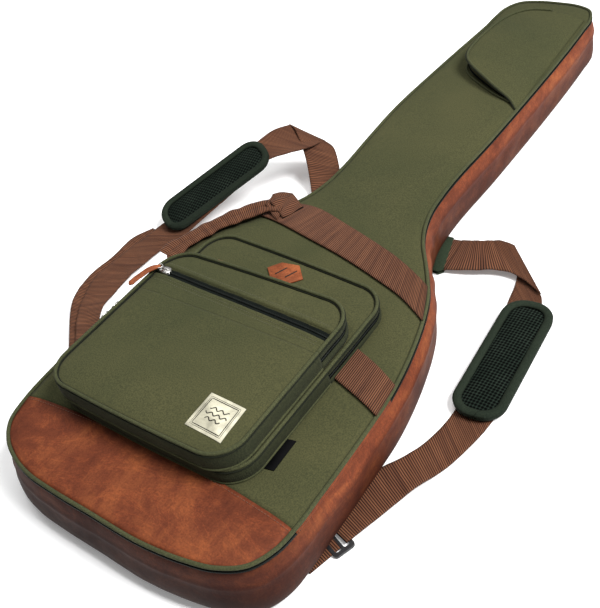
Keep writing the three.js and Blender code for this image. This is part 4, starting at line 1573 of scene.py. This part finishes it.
def add_adjuster(side):
    """A moulded tri-glide: two slots and three bars, copied from its node with soft edges."""
    obj = copied(f"{side}_strap_slider", f"{side}_adjuster_glide", BUCKLE)
    modify(obj, "WELD", merge_threshold=0.02 * MM)
    modify(obj, "DECIMATE", decimate_type="DISSOLVE", angle_limit=math.radians(3))
    modify(obj, "BEVEL", width=0.6 * MM, segments=2, limit_method="ANGLE")
    settle(obj)
    dress(obj, f"{side}_adjuster", "buckle_plastic", f"{side}_strap_slider")


def copied(node, name, material):
    """A new piece with a CAD node's shape."""
    obj = add_object(name, frame["nodes"][node].data.copy())
    obj.data.materials.clear()
    obj.data.materials.append(material)
    return obj


# ---------------------------------------------------------------- inside the bag

INNER = offset(OUTLINE, -13.5)


def quilted(base, rise, seed):
    """A lining surface: plump between its seams, flat at its edge."""
    tree = tree_of(INNER)

    def height(x, y):
        inside = tree.find((x, y, 0))[2]
        swell = 0.35 * wave(x, y, 60, seed) * min(1.0, inside / 20)
        return base + rise * (1 - math.exp(-inside / 10)) + swell
    return height


def add_lining(name, node, body, height, up):
    rows = [laid(line, height)[::1 if up else -1] for line in outline_rows(INNER, 40, 100)]
    surface = thicken(grid(name, rows, PLUSH), 1.2)
    dress(surface, body, "lining", node)


def softened(node, name, material, body, slot, voxel, cap):
    """A foam piece with its node's shape, swollen and rounded."""
    obj = copied(node, name, material)
    puff(obj, voxel, 3.0, cap)
    modify(obj, "SMOOTH", iterations=3)
    settle(obj)
    dress(obj, body, slot, node)


def add_inside():
    """Linings, end bumper, neck cradle and neck strap."""
    floor = box("back_lining")
    add_lining("back_lining_plush", "back_lining", "back_half",
               quilted(floor[0].z + 0.8, 1.0, 2.0), True)
    roof = box("lid_lining")
    drop = quilted(0, 1.0, 5.0)
    add_lining("lid_lining_plush", "lid_lining", "lid", lambda x, y: roof[1].z - 0.8 - drop(x, y),
               False)
    softened("end_bumper", "end_bumper_foam", RUBBER, "back_half", "rubber", 5.0, 0.5)
    softened("neck_cradle", "neck_cradle_plush", PLUSH, "back_half", "lining", 5.0, 0.5)
    low, high = box("neck_strap")
    z = high.z - 0.4
    y0, y1 = low.y + 1, high.y - 1
    edges = [[(low.x + 1, y, z), (low.x * 0.4, y, z + 0.2), (high.x * 0.4, y, z + 0.2),
              (high.x - 1, y, z)] for y in (y1, y0)]
    strap = ribbon("neck_strap_tape", *edges, y1 - y0, HOOK_TAPE, 1.3)
    dress(strap, "back_half", "hook_loop", "neck_strap")


# ---------------------------------------------------------------- studio

def add_studio():
    """A pale floor just under the bag, three soft lights and a pale room."""
    half, below = 12.0, -0.0004
    mesh = bpy.data.meshes.new("studio_floor")
    mesh.from_pydata([(x * half, y * half, below) for x, y in ((-1, -1), (1, -1), (1, 1), (-1, 1))],
                     [], [(0, 1, 2, 3)])
    mesh.materials.append(floor_look())
    add_object("studio_floor", mesh)
    for name, place, size, power in (("key", (2.2, 0.35, 2.8), 1.25, 196),
                                     ("fill", (-1.3, 0.5, 1.5), 1.6, 7),
                                     ("top", (-0.1, -0.05, 2.3), 1.2, 22)):
        light = bpy.data.lights.new(name, "AREA")
        light.size = size
        light.energy = power
        lamp = add_object(name, light)
        lamp.location = place
        lamp.rotation_euler = Vector(place).to_track_quat("Z", "Y").to_euler()
    world = bpy.data.worlds.new("studio")
    world.use_nodes = True
    background = world.node_tree.nodes["Background"]
    background.inputs["Color"].default_value = grey(1)
    background.inputs["Strength"].default_value = 0.26
    bpy.context.scene.world = world
    bpy.context.scene.view_settings.view_transform = "Standard"


def add_camera():
    """The camera that took the photograph, as solved from its perspective."""
    data = bpy.data.cameras.new("camera")
    data.lens = 52.08
    data.sensor_width = 36.0
    camera = add_object("camera", data)
    camera.location = (0.5575, -0.7115, 0.7199)
    camera.rotation_euler = [math.radians(a) for a in (47.47, 11.86, 35.76)]
    bpy.context.scene.camera = camera


add_camera()
add_studio()
add_side_wall()
add_back_panel()
add_main_zip()
add_lid()
add_waist_webbing()
add_handle()
add_pocket(B)
add_pocket(A)
add_slash_zip()
add_label()
add_lash_patch()
add_headstock_pocket()
add_sliders()
for side in STRAPS:
    add_strap(side)
add_pad("right", (234, 391, 0), turned("Z", 4))
add_pad("left", (-256.5, 495, 37.4), turned("Z", -31) @ turned("X", 16.5) @ turned("Y", 12))
add_inside()
